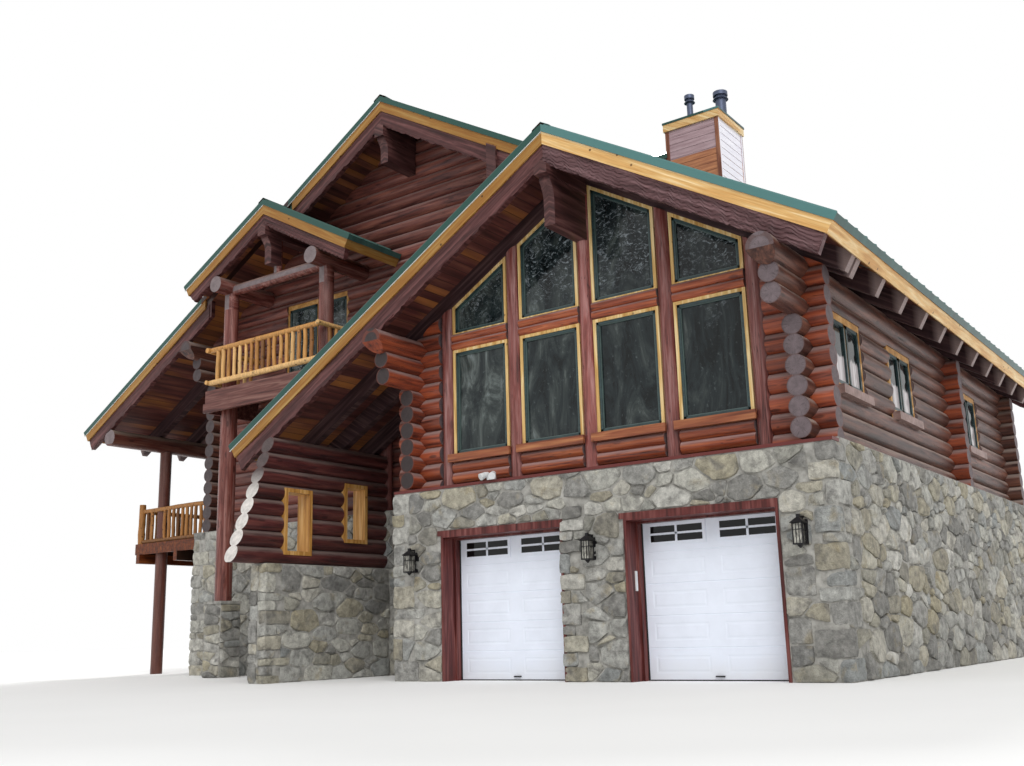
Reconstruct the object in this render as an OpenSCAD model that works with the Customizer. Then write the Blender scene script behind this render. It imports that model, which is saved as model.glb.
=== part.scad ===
// Alpine log chalet: a stone garage storey, a log great room over it behind a raised
// gable front of glass, a taller log house behind with a gabled balcony, and a covered
// side deck. Millimetres, Z up. The front looks along -Y and the main ridge runs along Y.

/* [Roof] */
// Angle of every roof slope, in degrees
roof_angle = 30.5; // [24:0.5:36]
// Height of the top of the main ridge
main_ridge_z = 12330; // [11800:10:12800]
// Half width of the main roof, from the ridge to either eave
main_half = 10450; // [10400:10:10600]
// Distance from the main ridge to the ridge of the front wing
front_ridge_x = 5700; // [5500:10:5900]
// Distance from the main ridge to the left eave of the front wing
front_left_eave = 1910; // [1800:10:2000]
// Distance from the main ridge to the balcony's ridge
balcony_ridge_x = 3050; // [3000:10:3200]
// Half width of the balcony's roof
balcony_half = 2730; // [2650:10:2800]
// Angle of the balcony's roof, in degrees
balcony_angle = 29; // [27:0.5:30]
// Depth of a roof deck, measured plumb
deck_t = 300; // [240:10:340]
// Depth of the balcony's roof deck, measured plumb
balcony_deck_t = 220; // [180:10:260]
// Height of the metal edge above the fascia board
metal_t = 130; // [100:5:150]
// How far the fascia board hangs below the top of the roof
fascia_drop = 350; // [330:5:370]
// Thickness of the fascia boards
fascia_t = 40; // [25:5:50]
// How far the metal edge stands out past the fascia boards
drip = 20; // [10:5:30]
// Plumb depth of the rafters and barge boards
rafter_v = 390; // [340:10:400]
// How deep the rafters are notched over the plate logs
seat = 40; // [20:10:60]
// Width of a rafter
rafter_w = 150; // [100:10:200]
// Distance from one rafter under an eave to the next
rafter_gap = 1190; // [1100:10:1190]

/* [Logs] */
// Diameter of a wall log
log_d = 316; // [310:2:330]
// Height of one course of logs
log_pitch = 303; // [296:1:306]
// Diameter of the plate log that carries the rafters
plate_d = 420; // [400:10:440]
// How far the log ends stand out past the crossing wall's centre
log_out = 420; // [380:10:440]
// Diameter of the posts between the great room's windows
window_post_d = 270; // [240:10:290]
// Diameter of the tall posts under balcony and deck roof
tall_post_d = 330; // [280:10:340]

/* [Plan] */
// Centre line of the right log wall
right_x = 9380; // [9300:10:9450]
// Centre line of the wing's left log wall
wing_x = 2020; // [1950:10:2100]
// Centre line of the main house's left log wall
left_x = 6350; // [6200:10:6400]
// Centre line of the main front log wall
main_y = 2250; // [2200:10:2300]
// Centre line of the back log wall
back_y = 12350; // [12000:50:12400]
// Centre line of the cross wall whose log ends show on the sides
cross_y = 7500; // [7400:10:7600]
// How far the wing's roof stands out past the window wall
front_over = 1240; // [1200:10:1280]
// Plane of the front edge of the main roof
main_rake_y = 1030; // [980:10:1080]
// Plane of the front edge of the balcony's roof
balcony_rake_y = 450; // [400:10:500]
// Height of the stone storey
stone_z = 3330; // [3250:10:3400]

/* [Windows] */
// Spacing of the posts in the window wall
bay = 1500; // [1480:5:1510]
// Top of the sill board
sill_z = 3890; // [3850:10:3950]
// Top of the lower window frames
head_z = 5820; // [5750:10:5850]
// Bottom of the upper window frames
upper_z = 6120; // [6080:10:6160]
// Width of a window frame
frame_w = 55; // [45:5:75]
// Width of a window in the side walls
side_window_w = 1340; // [1200:20:1400]
// Height of a window in the side walls
side_window_h = 1200; // [1100:20:1300]

/* [Garage doors] */
// Width of each overhead door
door_w = 2420; // [2300:10:2440]
// Height of each overhead door
door_h = 2400; // [2300:10:2440]
// Left edge of the left door
door_left_x = 2850; // [2830:10:2900]
// Left edge of the right door
door_right_x = 6485; // [6450:5:6500]

/* [Balcony and deck] */
// Distance from the balcony's ridge to either of its posts
balcony_post_x = 1560; // [1500:10:1620]
// Top of the balcony floor
balcony_z = 6350; // [6300:10:6400]
// Front of the balcony floor
balcony_y = 560; // [520:10:620]
// Distance between a balcony railing's balusters
baluster_gap = 190; // [170:5:220]
// Left edge of the side deck
deck_x = 10200; // [10000:10:10250]
// Front edge of the side deck
deck_y = 2600; // [2550:10:2650]

/* [Hidden] */
slope = tan(roof_angle);
log_r = log_d / 2;
plate_r = plate_d / 2;
post_r = tall_post_d / 2;
window_post_r = window_post_d / 2;
front_ridge_z = main_ridge_z - slope * front_ridge_x;
balcony_ridge_z = main_ridge_z - slope * balcony_ridge_x;
balcony_rafter_v = 390;
// Each roof: the place of its ridge, and the rise of its slopes
main_roof = [0, main_ridge_z, slope];
wing_roof = [front_ridge_x, front_ridge_z, slope];
small_roof = [-balcony_ridge_x, balcony_ridge_z, tan(balcony_angle)];
// Eaves of the balcony's roof
small_left = -balcony_ridge_x - balcony_half;
small_right = -balcony_ridge_x + balcony_half;
// Plumb depth of the pair of rafters that heads the window wall
header_v = 350;
// How far a barge board's end is cut back from the fascia at its lower edge, and its thickness
tail_cut = 140;
barge_t = 100;
main_back_y = back_y + (main_y - main_rake_y);
stone_out = log_out;
// How far log ends stand out inside the house, where nobody sees them
joint_out = 300;
stone_front = -stone_out;
// Board that covers the stone's ledge in front of the window wall
ledge_z = stone_z - 30;
ledge_t = 50;
// How far the front wing's stone stands out past its left log wall
wing_stone_out = 300;
// Height of a plate log's centre, so that the rafters lie on it
function plate_z(x) = main_ridge_z - deck_t - slope * x - rafter_v + seat - plate_r / cos(roof_angle);
side_plate_z = plate_z(right_x);
left_plate_z = plate_z(left_x);
// Courses: front walls start with a half log, and the logs of side walls lie half a course higher
side_first = stone_z + log_pitch / 2;
front_first = stone_z;
side_count = ceil((side_plate_z - plate_r - side_first) / log_pitch);
left_count = ceil((left_plate_z - plate_r - side_first) / log_pitch);
gable_count = ceil((main_ridge_z - stone_z) / log_pitch);
corner_count = 11;
// Porch wall
porch_x = -650;
porch_base_z = 2130;
porch_count = 8;
porch_pitch = 295;
porch_back_y = 1830;
porch_low_y = -2190;
porch_high_y = -1290;
porch_front_y = -1470;
porch_windows = [[-1030, 2300, 700, 1250], [550, 2600, 650, 1180]];
// Window wall: its posts, and the height of a frame's foot
post_x = [for (i = [-2:2]) front_ridge_x + i * bay];
frame_foot = 20;
// Side windows: the near edge along Y and the sill
right_windows = [940, 3740, 8590];
left_windows = [3300, 9100];
back_windows = [-4670, -670, 3330];
side_sill_z = 4310;
// How deep a side window's frame stands behind the logs' outermost line
frame_recess = 50;
sill_h = 140;
deck_door = [5700, 1900, 2130];
balcony_door = [-3980, 2000, 2200];
upper_window = [-670, 7250];
// Balcony
balcony_posts_x = [-balcony_ridge_x - balcony_post_x, -balcony_ridge_x + balcony_post_x];
balcony_post_y = 950;
balcony_left = -4960;
balcony_right = -1250;
balcony_rim_h = 300;
balcony_beam_h = 205;
balcony_rail_h = 1020;
rail_set_in = 60;
balcony_plate_r = 190;
balcony_plate_z = balcony_ridge_z - balcony_deck_t - tan(balcony_angle) * balcony_post_x
    - balcony_rafter_v - balcony_plate_r / cos(balcony_angle);
// Thick post below the balcony, on its pier
low_post = [-4580, balcony_post_y];
low_post_r = 190;
pier_half = 270;
pier_z = 1620;
rail_r = 58;
baluster_r = 43;
// Ridge beams: the underside of each, and of the bracket below it
main_beam = [11360, 10800];
wing_beam = [8070, 7240];
balcony_beam = [9660, 9040];
beam_w = 250;
bracket_w = 210;
// Beam that carries the main roof beside the balcony's roof: its sides and underside
purlin = [2880, 3110, 9560];
// Deck
deck_post_y = [for (i = [0:4]) deck_y + 230 + i * 2325];
deck_beam_x = [-9950, -8400, -6900];
deck_beam_w = 140;
deck_beam_h = 240;
deck_rim_h = 280;
deck_rail_z = 4250;
// Chimney
chase_x = 4740;
chase_y = 5320;
chase_w = 1240;
chase_top = 11620;
saddle_ridge_z = 11500;
saddle_t = 110;
saddle_foot = 6000;
cap_lip = 55;
cap_h = 205;
// Middle of the building's length, which is where the origin stands
low_y = porch_low_y;
mid_y = (low_y + main_back_y) / 2;

$fn = 64;

// Places the building with its middle over the origin
module placed() translate([0, -mid_y, 0]) children();

// A flat outline of (x, z) points carried along Y from y0 to y1
module along_y(y0, y1) translate([0, y1, 0]) rotate([90, 0, 0]) linear_extrude(y1 - y0) children();

// A flat outline of (y, z) points carried along X from x0 to x1
module along_x(x0, x1) translate([x0, 0, 0]) rotate([90, 0, 90]) linear_extrude(x1 - x0) children();

// Box between two corners
module block(a, b) translate(a) cube(b - a);

// Height of a roof's top surface over x
function roof_z(roof, x) = roof[1] - roof[2] * abs(x - roof[0]);

// Where an eave that is cut square to the slope lies at a plumb depth below the top
function eave_at(roof, eave_x, depth) =
    eave_x - sign(eave_x - roof[0]) * depth * roof[2] / (1 + pow(roof[2], 2));

// A roof's section from xa out to its eave, between two plumb depths below the top
module eave_band(roof, xa, eave_x, upper, lower) {
    xu = eave_at(roof, eave_x, upper);
    xl = eave_at(roof, eave_x, lower);
    polygon([[xa, roof_z(roof, xa) - upper], [xu, roof_z(roof, xu) - upper],
        [xl, roof_z(roof, xl) - lower], [xa, roof_z(roof, xa) - lower]]);
}

// A roof's section between two plumb lines
module band(roof, xa, xb, upper, lower)
    polygon([[xa, roof_z(roof, xa) - upper], [xb, roof_z(roof, xb) - upper],
        [xb, roof_z(roof, xb) - lower], [xa, roof_z(roof, xa) - lower]]);

// Outline of a board whose hand-cut lower edge waves, and whose end slants back by back
module wavy_band(roof, xa, xb, upper, lower, wave, depth, back) {
    xe = xb - sign(xb - xa) * back;
    steps = max(4, ceil(abs(xe - xa) / wave * 6));
    function px(i) = xa + (xe - xa) * i / steps;
    function dip(i) = depth * (sin(i * 60) + 0.5 * sin(i * 97)) / 1.5;
    polygon(concat([[xa, roof_z(roof, xa) - upper], [xb, roof_z(roof, xb) - upper]],
        [for (i = [steps:-1:0]) [px(i), roof_z(roof, px(i)) - lower + dip(i)]]));
}

// Sections of stacked logs, whole and as upper halves
module log_discs(first, count, pitch = log_pitch)
    for (i = [0:count - 1]) translate([0, first + i * pitch]) circle(log_r);
module half_discs(first, count) for (i = [0:count - 1]) translate([0, first + i * log_pitch])
    difference() {
        circle(log_r);
        translate([-log_r, -2 * log_r]) square(2 * log_r);
    }

// Upper halves of crossing logs, which the saddle notches of a wall are cut to
module notches_along_x(y, xa, xb, first, count) along_x(xa, xb) translate([y, 0]) half_discs(first, count);
module notches_along_y(x, ya, yb, first, count) along_y(ya, yb) translate([x, 0]) half_discs(first, count);

// Space of a plate log, which the logs that cross it are cut to
module plate_space_y(x, y, z) along_y(y - 500, y + 500) translate([x, z]) circle(plate_r);

// Section of a side wall: whole logs on the stone, and the plate log on top
module side_wall_section(count, top_z) {
    difference() {
        log_discs(side_first, count);
        translate([-log_r, stone_z - 2 * log_r]) square(2 * log_r);
    }
    translate([0, top_z]) circle(plate_r);
}

// Top logs that step out in front to carry the barge board; the plate's end is cut away below
module corbels(x, y, top_z, count, out) {
    end = y - out[0];
    slant = plate_r * 1.1;
    spare = 10;
    difference() {
        along_y(end, y) translate([x, top_z]) circle(plate_r);
        along_x(x - plate_r, x + plate_r) polygon([[end - spare, top_z - 2 * spare], [end, top_z - 2 * spare],
            [end + slant, top_z - plate_r], [end - spare, top_z - plate_r - spare]]);
    }
    for (i = [1:len(out) - 1])
        along_y(y - out[i], y) translate([x, side_first + (count - i) * log_pitch]) circle(log_r);
}

// Opening through a wall that runs along Y
module opening_y(x, y, z, w, h) block([x - 600, y, z], [x + 600, y + w, z + h]);

// Opening through a wall that runs along X
module opening_x(x, y, z, w, h) block([x, y - 600, z], [x + w, y + 600, z + h]);

// Flat outline of a frame: sides of one width, and a foot and a head of their own
module window_ring(w, h, side, foot, head) difference() {
    square([w, h]);
    translate([side, foot]) square([w - 2 * side, h - foot - head]);
}

// One side wall window, built along +X with its outside at -Y: a deep frame, a middle bar and a sill
module side_window(w = side_window_w, h = side_window_h, sill = true) {
    ring = 62;
    front = frame_recess - log_r;
    translate([0, 90, 0]) rotate([90, 0, 0]) linear_extrude(90 - front) window_ring(w, h, ring, ring, 110);
    translate([w / 2 - ring / 2, front + 20, ring / 2]) cube([ring, 50, h - ring]);
    if (sill) translate([-30, -log_r - 85, -sill_h]) cube([w + 60, 95 + frame_recess, sill_h]);
}

// Space that a sill is let into
module sill_space() translate([-30, -log_r - 200, -sill_h])
    cube([side_window_w + 60, 210 + frame_recess, sill_h]);

// Two panes, one on either side of a side window's middle bar
module side_pane(w = side_window_w, h = side_window_h) {
    ring = 62;
    for (i = [0:1]) translate([ring + i * (w - ring) / 2, frame_recess - log_r + 35, ring])
        cube([(w - 3 * ring) / 2, 20, h - ring - 110]);
}

// Puts a window that faces -Y into one of the walls
module on_right_wall(y, z) translate([right_x, y, z]) rotate([0, 0, 90]) children();
module on_left_wall(y, z) translate([-left_x, y, z]) rotate([0, 0, -90]) children();
module on_back_wall(x, z) translate([x, back_y, z]) rotate([0, 0, 180]) children();
module on_main_front(x, z) translate([x, main_y, z]) children();

// Log railing along +X: two rails, the lower one raised by foot, and a row of balusters, which
// leaves out those that a house post takes the place of
module railing(length, height, gap, foot = 0, post = -1000) {
    count = floor((length - gap) / gap);
    start = (length - (count - 1) * gap) / 2;
    for (z = [foot + rail_r, height - rail_r]) translate([0, 0, z]) rotate([0, 90, 0])
        cylinder(r = rail_r, h = length);
    for (i = [0:count - 1]) if (abs(start + i * gap - post) > post_r + baluster_r)
        translate([start + i * gap, 0, foot + rail_r])
            cylinder(r = baluster_r, h = height - foot - 2 * rail_r);
}

module garage_stone_wall() placed() color("#8d8577") {
    top_z = door_h + 120;
    difference() {
        block([wing_x - wing_stone_out, stone_front, 0], [right_x - log_r, log_r, stone_z]);
        for (x = [door_left_x, door_right_x])
            block([x - 45, stone_front - 10, -10], [x + door_w + 45, log_r + 10, top_z]);
        block([0, stone_front - 10, ledge_z - ledge_t], [right_x, -log_r, stone_z + 10]);
    }
    block([wing_x - wing_stone_out, log_r - 1, 0], [wing_x + log_r, main_y - stone_out, stone_z]);
}

module right_stone_wall() placed() color("#8d8577") difference() {
    block([right_x - log_r, stone_front, 0], [right_x + stone_out, back_y + stone_out, stone_z]);
    block([0, stone_front - 10, ledge_z - ledge_t], [right_x + stone_out + 10, -log_r, stone_z + 10]);
}

module main_front_stone_wall() placed() color("#867e70")
    block([-left_x - stone_out, main_y - stone_out, 0], [wing_x + log_r, main_y + log_r, stone_z]);

module rear_stone_walls() placed() color("#867e70") {
    block([-left_x - stone_out, main_y + log_r, 0], [-left_x + log_r, back_y + stone_out, stone_z]);
    block([-left_x, back_y - log_r, 0], [right_x - log_r, back_y + stone_out, stone_z]);
}

module porch_stone_wall() placed() color("#8a8274")
    block([porch_x - 200, porch_front_y, 0], [porch_x + 200, porch_back_y, porch_base_z]);

module balcony_post_pier() placed() color("#938a7b")
    translate(low_post) {
        block([-pier_half, -pier_half, 0], [pier_half, pier_half, pier_z - 60]);
        block([-pier_half - 20, -pier_half - 20, pier_z - 60], [pier_half + 20, pier_half + 20, pier_z]);
    }

module main_floor() placed() color("#9b7248") {
    block([-left_x + log_r, main_y + log_r, stone_z - 200], [right_x - log_r, back_y - log_r, stone_z]);
    block([wing_x + log_r, log_r, stone_z - 200], [right_x - log_r, main_y + log_r, stone_z]);
}

module upper_floor() placed() color("#9b7248") difference() {
    block([-left_x + log_r, main_y + log_r, balcony_z - 250],
        [right_x - stone_out, back_y - log_r, balcony_z - 50]);
    block([chase_x, chase_y, balcony_z - 300], [chase_x + chase_w, chase_y + chase_w, balcony_z]);
}

// Sectional door: five hinged sections, raised panels, and two windows of four lights in the top one
module garage_door() {
    section_h = door_h / 5;
    margin = 170;
    middle = 260;
    bar = 36;
    foot = 110;
    light_foot = 150;
    panel_w = (door_w - 2 * margin - middle) / 2;
    panel_h = section_h - 2 * foot;
    light_w = (panel_w - bar) / 2;
    light_h = 105;
    function panel_x(k) = margin + k * (panel_w + middle);
    for (i = [0:4]) translate([0, 0, i * section_h]) difference() {
        block([0, 0, 2], [door_w, 50, section_h - 4]);
        if (i == 4) for (k = [0:1]) for (a = [0:1]) for (b = [0:1])
            translate([panel_x(k) + a * (light_w + bar), -1, light_foot + b * (light_h + bar)])
                cube([light_w, 25, light_h]);
    }
    for (i = [0:3]) for (k = [0:1])
        translate([panel_x(k), -8, i * section_h + foot]) cube([panel_w, 9, panel_h]);
    block([0, 49, 0], [door_w, 60, door_h]);
}

module garage_doors() placed() color("#f2f4f6")
    for (x = [door_left_x, door_right_x]) translate([x, 0, 0]) garage_door();

module garage_door_linings() placed() color("#6b2c22") for (x = [door_left_x, door_right_x]) {
    difference() {
        block([x - 45, stone_front - 25, 0], [x + door_w + 45, 150, door_h + 120]);
        block([x, stone_front - 50, -10], [x + door_w, 200, door_h]);
    }
    // Ear of the lintel board, which stands out past the left jamb
    block([x - 120, stone_front - 25, door_h + 30], [x - 44, stone_front, door_h + 120]);
    // Stops in front of the door
    for (side = [x, x + door_w - 30]) block([side, -130, 0], [side + 30, -20, door_h - 30]);
    block([x, -130, door_h - 30], [x + door_w, -20, door_h]);
}

// Lantern on a back plate: a square cage under a hipped cap
module lantern() {
    block([-70, -30, -175], [70, 0, 175]);
    block([-23, -200, 193], [23, -10, 222]);
    translate([0, -175, 0]) {
        translate([0, 0, -175]) rotate(45) cylinder(r = 100, h = 18, $fn = 4);
        translate([0, 0, -157]) rotate(45) cylinder(r = 82, h = 280, $fn = 4);
        translate([0, 0, 123]) rotate(45) cylinder(r1 = 140, r2 = 47, h = 70, $fn = 4);
        translate([0, 0, 193]) cylinder(r = 21, h = 52);
        translate([0, 0, -222]) cylinder(r1 = 9, r2 = 47, h = 47);
    }
}

module wall_lanterns() placed() color("#1b1b1d")
    for (x = [2220, 5870, 9290]) translate([x, stone_front, 2010]) lantern();

// Area of the window wall, which ends under the pair of rafters that heads it
module wing_gable_area(xa, xb, low) {
    function under(x) = roof_z(wing_roof, x) - deck_t - header_v;
    polygon([[xa, low], [xb, low], [xb, under(xb)], [xa, under(xa)]]);
}

// Logs of the front wall that pass through the corners and end at the windows
module corner_logs(xa, xb, wall) difference() {
    intersection() {
        along_x(xa, xb) log_discs(front_first, corner_count);
        along_y(-log_r, log_r) wing_gable_area(xa, xb, stone_z);
    }
    notches_along_y(wall, -500, 500, side_first, side_count);
    plate_space_y(wall, 0, side_plate_z);
}

// Ends of the inner cross wall's logs, which pass through the right wall
module cross_wall_logs() difference() {
    along_x(right_x - log_out, right_x + log_out) translate([cross_y, 0])
        log_discs(front_first, side_count + 1);
    block([0, cross_y - 500, 0], [right_x + stone_out, cross_y + 500, stone_z]);
    notches_along_y(right_x, cross_y - 500, cross_y + 500, side_first, side_count);
    plate_space_y(right_x, cross_y, side_plate_z);
}

module crossing_logs() placed() color("#7c2e1f") {
    corner_logs(wing_x - log_out, post_x[0] - window_post_r, wing_x);
    corner_logs(post_x[4] + window_post_r, right_x + log_out, right_x);
    cross_wall_logs();
}

// The posts' heads are cut to the slope of the rafters
module window_posts() placed() color("#7c2e1f") intersection() {
    for (x = post_x) translate([x, 0, stone_z]) cylinder(r = window_post_r, h = main_ridge_z - stone_z);
    union() for (side = [-1, 1]) along_y(-window_post_r, window_post_r)
        wing_gable_area(front_ridge_x, front_ridge_x + side * 3400, stone_z);
}

// Short logs that fill each bay under the sill and between the two rows of windows
module window_rail_logs() placed() color("#8a3622") for (i = [0:3]) {
    xa = post_x[i] + window_post_r;
    xb = post_x[i + 1] - window_post_r;
    low_h = (sill_z - 140 - stone_z - 50) / 2;
    for (k = [0:1]) along_x(xa, xb) translate([0, stone_z + 50 + low_h * (k + 0.5)]) bay_log(low_h);
    mid_h = (upper_z - head_z) / 2;
    for (k = [0:1]) along_x(xa, xb) translate([0, head_z + mid_h * (k + 0.5)]) bay_log(mid_h);
}

// Section of a bay's log: flat above, below and behind, and round in front
module bay_log(h) intersection() {
    union() {
        translate([-35, 0]) circle(r = h * 0.53);
        translate([-35, -h / 2]) square([h * 0.78 + 35, h]);
    }
    translate([-h, -h / 2]) square([2 * h, h]);
}

module window_sills() placed() color("#9a4a2a") {
    for (i = [0:3]) block([post_x[i] + window_post_r - 60, -window_post_r - 55, sill_z - 140],
        [post_x[i + 1] - window_post_r + 60, -window_post_r, sill_z]);
    for (i = [0:3]) block([post_x[i] + window_post_r, -window_post_r, sill_z - 140],
        [post_x[i + 1] - window_post_r, 90, sill_z]);
    block([wing_x - wing_stone_out, stone_front - 15, ledge_z - ledge_t],
        [right_x + log_out + 15, -log_r, ledge_z]);
}

// Outline of an upper window: plumb sides, a level foot and a head that follows the roof
module upper_outline(xa, xb, inset, foot) {
    drop = deck_t + header_v + inset / cos(roof_angle);
    function top(x) = roof_z(wing_roof, x) - drop;
    a = xa + inset;
    b = xb - inset;
    polygon([[a, upper_z + foot], [b, upper_z + foot], [b, top(b)], [a, top(a)]]);
}

module front_window_frames() placed() color("#c98b45") for (i = [0:3]) {
    xa = post_x[i] + window_post_r;
    xb = post_x[i + 1] - window_post_r;
    along_y(-70, 60) difference() {
        upper_outline(xa, xb, 0, 0);
        upper_outline(xa, xb, frame_w, frame_foot);
    }
    along_y(-70, 60) translate([xa, sill_z])
        window_ring(xb - xa, head_z - sill_z, frame_w, frame_foot, frame_w);
}

module front_window_glass() placed() color("#39454a") for (i = [0:3]) {
    xa = post_x[i] + window_post_r;
    xb = post_x[i + 1] - window_post_r;
    along_y(-10, 10) upper_outline(xa, xb, frame_w, frame_foot);
    along_y(-10, 10) translate([xa + frame_w, sill_z + frame_foot])
        square([xb - xa - 2 * frame_w, head_z - sill_z - frame_w - frame_foot]);
}

module right_log_wall() placed() color("#6f2a1d") {
    difference() {
        union() {
            along_y(-log_out, back_y + log_out) translate([right_x, 0])
                side_wall_section(side_count, side_plate_z);
            corbels(right_x, 0, side_plate_z, side_count, [1400, 1150, 1130]);
        }
        for (y = [0, cross_y, back_y])
            notches_along_x(y, right_x - 500, right_x + 500, front_first, side_count);
        for (y = right_windows) {
            opening_y(right_x, y, side_sill_z, side_window_w, side_window_h);
            on_right_wall(y, side_sill_z) sill_space();
        }
    }
}

module wing_left_log_wall() placed() color("#6f2a1d") difference() {
    union() {
        along_y(-log_out, main_y + joint_out) translate([wing_x, 0])
            side_wall_section(side_count, side_plate_z);
        corbels(wing_x, 0, side_plate_z, side_count, [1380, 1110, 1060]);
    }
    for (y = [0, main_y]) notches_along_x(y, wing_x - 500, wing_x + 500, front_first, side_count);
}

// Area of the main front gable wall: up to the roof's underside, and above the wing's roof
module main_gable_area() {
    under = main_ridge_z - deck_t;
    xl = -left_x - log_out;
    xr = wing_x + joint_out;
    meet = (under - front_ridge_z + slope * front_ridge_x) / (2 * slope);
    polygon([[xl, stone_z], [xr, stone_z], [xr, roof_z(wing_roof, xr)],
        [meet, under - slope * meet], [0, under], [xl, under - slope * (left_x + log_out)]]);
}

module main_front_log_wall() placed() color("#6f2a1d") difference() {
    intersection() {
        along_x(-left_x - log_out, front_ridge_x) translate([main_y, 0]) log_discs(front_first, gable_count);
        along_y(main_y - log_r, main_y + log_r) main_gable_area();
    }
    notches_along_y(-left_x, main_y - 500, main_y + 500, side_first, left_count);
    notches_along_y(wing_x, main_y - 500, main_y + 500, side_first, side_count);
    plate_space_y(-left_x, main_y, left_plate_z);
    plate_space_y(wing_x, main_y, side_plate_z);
    opening_x(balcony_door[0], main_y, balcony_z, balcony_door[1], balcony_door[2]);
}

module left_log_wall() placed() color("#6f2a1d") difference() {
    union() {
        along_y(main_y - log_out, back_y + log_out) translate([-left_x, 0])
            side_wall_section(left_count, left_plate_z);
        corbels(-left_x, main_y, left_plate_z, left_count, [1250, 890, 870]);
    }
    for (y = [main_y, back_y]) notches_along_x(y, -left_x - 500, -left_x + 500, front_first, left_count);
    for (y = left_windows) {
        opening_y(-left_x, y, side_sill_z, side_window_w, side_window_h);
        on_left_wall(y + side_window_w, side_sill_z) sill_space();
    }
    opening_y(-left_x, deck_door[0], stone_z, deck_door[1], deck_door[2]);
}

// Area of the back gable wall, under the whole main roof
module back_gable_area() {
    under = main_ridge_z - deck_t;
    xl = -left_x - log_out;
    xr = right_x + log_out;
    polygon([[xl, stone_z], [xr, stone_z], [xr, under - slope * xr], [0, under], [xl, under + slope * xl]]);
}

module back_log_wall() placed() color("#6f2a1d") difference() {
    intersection() {
        along_x(-left_x - log_out, right_x + log_out) translate([back_y, 0])
            log_discs(front_first, gable_count);
        along_y(back_y - log_r, back_y + log_r) back_gable_area();
    }
    notches_along_y(-left_x, back_y - 500, back_y + 500, side_first, left_count);
    notches_along_y(right_x, back_y - 500, back_y + 500, side_first, side_count);
    plate_space_y(-left_x, back_y, left_plate_z);
    plate_space_y(right_x, back_y, side_plate_z);
    for (x = back_windows) {
        opening_x(x, back_y, side_sill_z, side_window_w, side_window_h);
        on_back_wall(x + side_window_w, side_sill_z) sill_space();
    }
    opening_x(upper_window[0], back_y, upper_window[1], side_window_w, side_window_h);
    on_back_wall(upper_window[0] + side_window_w, upper_window[1]) sill_space();
}

module side_window_frames() placed() color("#2f4a3c") {
    for (y = right_windows) on_right_wall(y, side_sill_z) side_window();
    for (y = left_windows) on_left_wall(y + side_window_w, side_sill_z) side_window();
    on_left_wall(deck_door[0] + deck_door[1], stone_z) side_window(deck_door[1], deck_door[2], false);
    for (x = back_windows) on_back_wall(x + side_window_w, side_sill_z) side_window();
    on_back_wall(upper_window[0] + side_window_w, upper_window[1]) side_window();
    on_main_front(balcony_door[0], balcony_z) side_window(balcony_door[1], balcony_door[2], false);
}

module side_window_glass() placed() color("#39454a") {
    for (y = right_windows) on_right_wall(y, side_sill_z) side_pane();
    for (y = left_windows) on_left_wall(y + side_window_w, side_sill_z) side_pane();
    on_left_wall(deck_door[0] + deck_door[1], stone_z) side_pane(deck_door[1], deck_door[2]);
    for (x = back_windows) on_back_wall(x + side_window_w, side_sill_z) side_pane();
    on_back_wall(upper_window[0] + side_window_w, upper_window[1]) side_pane();
    on_main_front(balcony_door[0], balcony_z) side_pane(balcony_door[1], balcony_door[2]);
}

// Log wall beside the entry, whose front ends are cut back to a slant
module porch_log_wall() placed() color("#7c2e1f") difference() {
    top_z = porch_base_z + porch_count * porch_pitch;
    intersection() {
        along_y(porch_low_y, porch_back_y) translate([porch_x, 0])
            log_discs(porch_base_z + porch_pitch / 2, porch_count, porch_pitch);
        block([porch_x - log_r, porch_low_y, porch_base_z], [porch_x + log_r, porch_back_y, top_z + 50]);
    }
    along_x(porch_x - 300, porch_x + 300) polygon([[porch_low_y - 10, porch_base_z],
        [porch_low_y, porch_base_z], [porch_high_y, top_z], [porch_high_y + 60, top_z + log_r],
        [porch_low_y - 10, top_z + log_r]]);
    for (w = porch_windows) opening_y(porch_x, w[0], w[1], w[2], w[3]);
}

module porch_window_frames() placed() color("#c98b45") for (w = porch_windows)
    along_x(porch_x - log_r, porch_x + log_r + 15) translate([w[0], w[1]])
        window_ring(w[2], w[3], 75, 75, 75);

module porch_corner_post() placed() color("#5a241a") {
    y = (porch_back_y + main_y - log_r) / 2;
    translate([porch_x, y, porch_base_z]) cylinder(r = (main_y - log_r - porch_back_y) / 2,
        h = roof_z(wing_roof, porch_x) - deck_t - 130 - porch_base_z);
}

// Deck of one slope, whose metal edge stands out past the fascia boards at eave and rakes
module slope_deck(roof, eave_x, ya, yb, thick, rake_a, rake_b) {
    side = sign(eave_x - roof[0]);
    set_in = drip + fascia_t;
    along_y(ya, yb) eave_band(roof, roof[0], eave_x, 0, metal_t);
    along_y(ya + rake_a * set_in, yb - rake_b * set_in)
        eave_band(roof, roof[0], eave_x - side * set_in, metal_t - 1, thick);
}

module main_roof_left() placed() color("#2c5a48")
    slope_deck(main_roof, -main_half, main_rake_y, main_back_y, deck_t, 1, 1);

module main_roof_right() placed() color("#2c5a48") difference() {
    slope_deck(main_roof, main_half, main_rake_y, main_back_y, deck_t, 1, 1);
    block([chase_x, chase_y, 0], [chase_x + chase_w, chase_y + chase_w, main_ridge_z]);
}

// Space of the main roof's deck between two places along X, kept clear of the roofs that run into it
module main_deck_space(xa, xb) along_y(main_rake_y, main_back_y) band(main_roof, xa, xb, -10, deck_t);

module front_roof() placed() color("#2c5a48") {
    slope_deck(wing_roof, main_half, -front_over, main_rake_y, deck_t, 1, 0);
    difference() {
        slope_deck(wing_roof, -front_left_eave, -front_over, main_y - log_r, deck_t, 1, 0);
        main_deck_space(front_ridge_x / 2, main_half - 1000);
    }
}

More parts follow.
